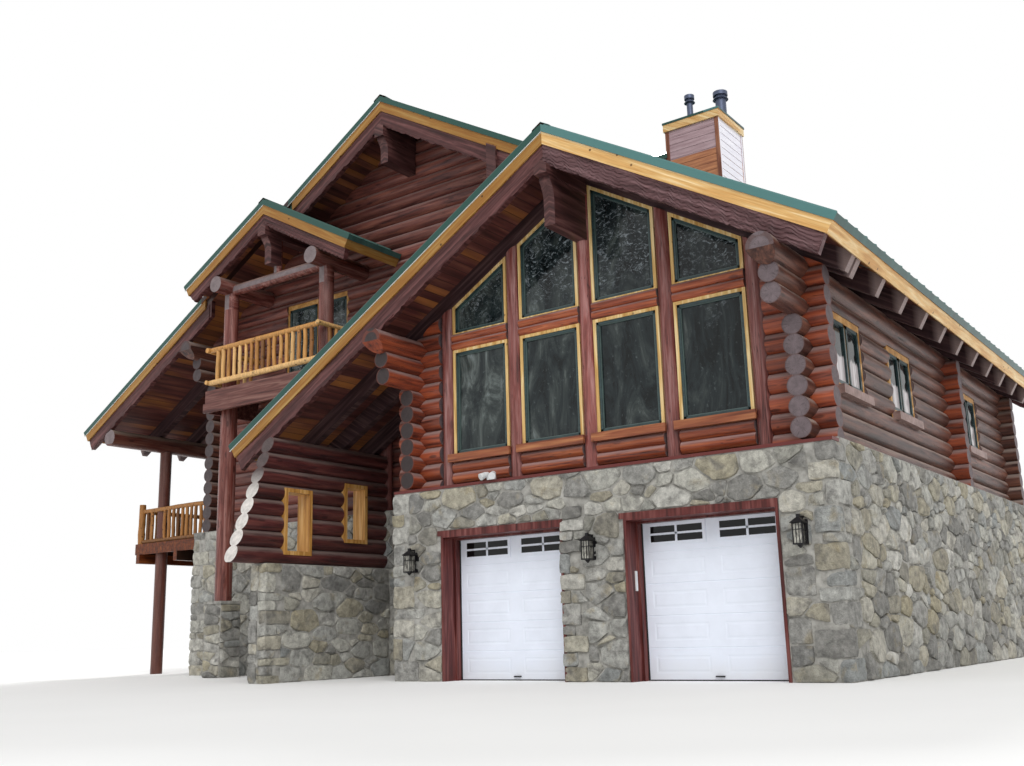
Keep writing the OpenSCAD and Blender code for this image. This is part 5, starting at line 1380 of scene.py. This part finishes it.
class CHALET_OT_chimney(bpy.types.Operator):
    """Sides the chimney with lap boards and corner boards, and lays its metal lid and its flashing"""

    bl_idname = "chalet.chimney"
    bl_label = "Chimney"

    def execute(self, context):
        lap = context.scene.chalet_sizes.lap
        x0, x1, y0, y1, low, top = 4.74, 5.98, 5.32, 6.56, 8.80, 11.62
        boards, corners, aside = [], [], []
        for z in np.arange(top - lap, low - lap, -lap):
            for a, b, out in (((x0, y0), (x1, y0), (0, -1)), ((x1, y0), (x1, y1), (1, 0)),
                              ((x1, y1), (x0, y1), (0, 1)), ((x0, y1), (x0, y0), (-1, 0))):
                a, b, out = np.array(a, float), np.array(b, float), np.array(out, float)
                rows = []
                for level, depth in ((z + 0.006, 0.014), (z + lap, 0.010)):
                    rows += [(*(a + out * depth), level), (*(b + out * depth), level), (*b, level), (*a, level)]
                boards.append(rows)
        wide = 0.065
        for px, py, sx, sy in ((x0, y0, -1, -1), (x1, y0, 1, -1), (x1, y1, 1, 1), (x0, y1, -1, 1)):
            xs, ys = np.sort([px + sx * 0.024, px - sx * wide]), np.sort([py, py + sy * 0.024])
            corners.append(bars((xs[0], ys[0], low), (xs[1], ys[1], top)))
            xs, ys = np.sort([px, px + sx * 0.0235]), np.sort([py, py - sy * wide])
            aside.append(bars((xs[0], ys[0], low), (xs[1], ys[1], top)))
        piece("chimney_siding", blocks(boards), "lap_siding")
        piece("chimney_corner_boards", joined(corners), "corner_board")
        piece("chimney_side_boards", joined(aside), "lap_siding")
        # Metal lid over the cap
        lid = top + 0.205
        flashing = [bars((x0 - 0.067, y0 - 0.067, lid - 0.035), (x1 + 0.067, y1 + 0.067, lid + 0.012))]
        # Stepped flashing along both sides, and a strip below the box
        for xa in x0 + 0.25 * np.arange(5):
            z = float(roof_z(MAIN, xa))
            for y, s in ((y0 - 0.03, -1), (y1 + 0.03, 1)):
                ya, yb = sorted((y, y + s * 0.004))
                flashing.append(bars((xa, ya, z - 0.2), (xa + 0.27, yb, z + 0.10)))
        z = float(roof_z(MAIN, x1))
        flashing.append(bars((x1 + 0.03, y0 - 0.05, z - 0.1), (x1 + 0.036, y1 + 0.05, z + 0.14)))
        piece("chimney_flashing", joined(flashing), "green_roof")
        return {"FINISHED"}


class CHALET_PT_panel(bpy.types.Panel):
    """Lists the steps and the values of the dressing"""

    bl_label = "Alpine Chalet"
    bl_idname = "CHALET_PT_panel"
    bl_space_type = "VIEW_3D"
    bl_region_type = "UI"
    bl_category = "Chalet"

    def draw(self, context):
        layout = self.layout
        for group in (context.scene.chalet_sizes, context.scene.chalet_colours):
            box = layout.box()
            for name in group.__annotations__:
                box.prop(group, name)
        for step in STEPS:
            layout.operator(step.bl_idname)


STEPS = (CHALET_OT_stage, CHALET_OT_finishes, CHALET_OT_stones, CHALET_OT_roof_metal, CHALET_OT_carved_boards,
         CHALET_OT_garage_doors, CHALET_OT_lanterns, CHALET_OT_sashes, CHALET_OT_railings, CHALET_OT_chimney)
CLASSES = (CHALET_PG_sizes, CHALET_PG_colours) + STEPS + (CHALET_PT_panel,)


def register():
    for item in CLASSES:
        bpy.utils.register_class(item)
    bpy.types.Scene.chalet_sizes = PointerProperty(type=CHALET_PG_sizes)
    bpy.types.Scene.chalet_colours = PointerProperty(type=CHALET_PG_colours)


def unregister():
    del bpy.types.Scene.chalet_colours
    del bpy.types.Scene.chalet_sizes
    for item in reversed(CLASSES):
        bpy.utils.unregister_class(item)


def main():
    """Registers the steps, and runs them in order."""
    register()
    for step in STEPS:
        group, name = step.bl_idname.split(".")
        getattr(getattr(bpy.ops, group), name)()


if __name__ == "__main__":
    main()
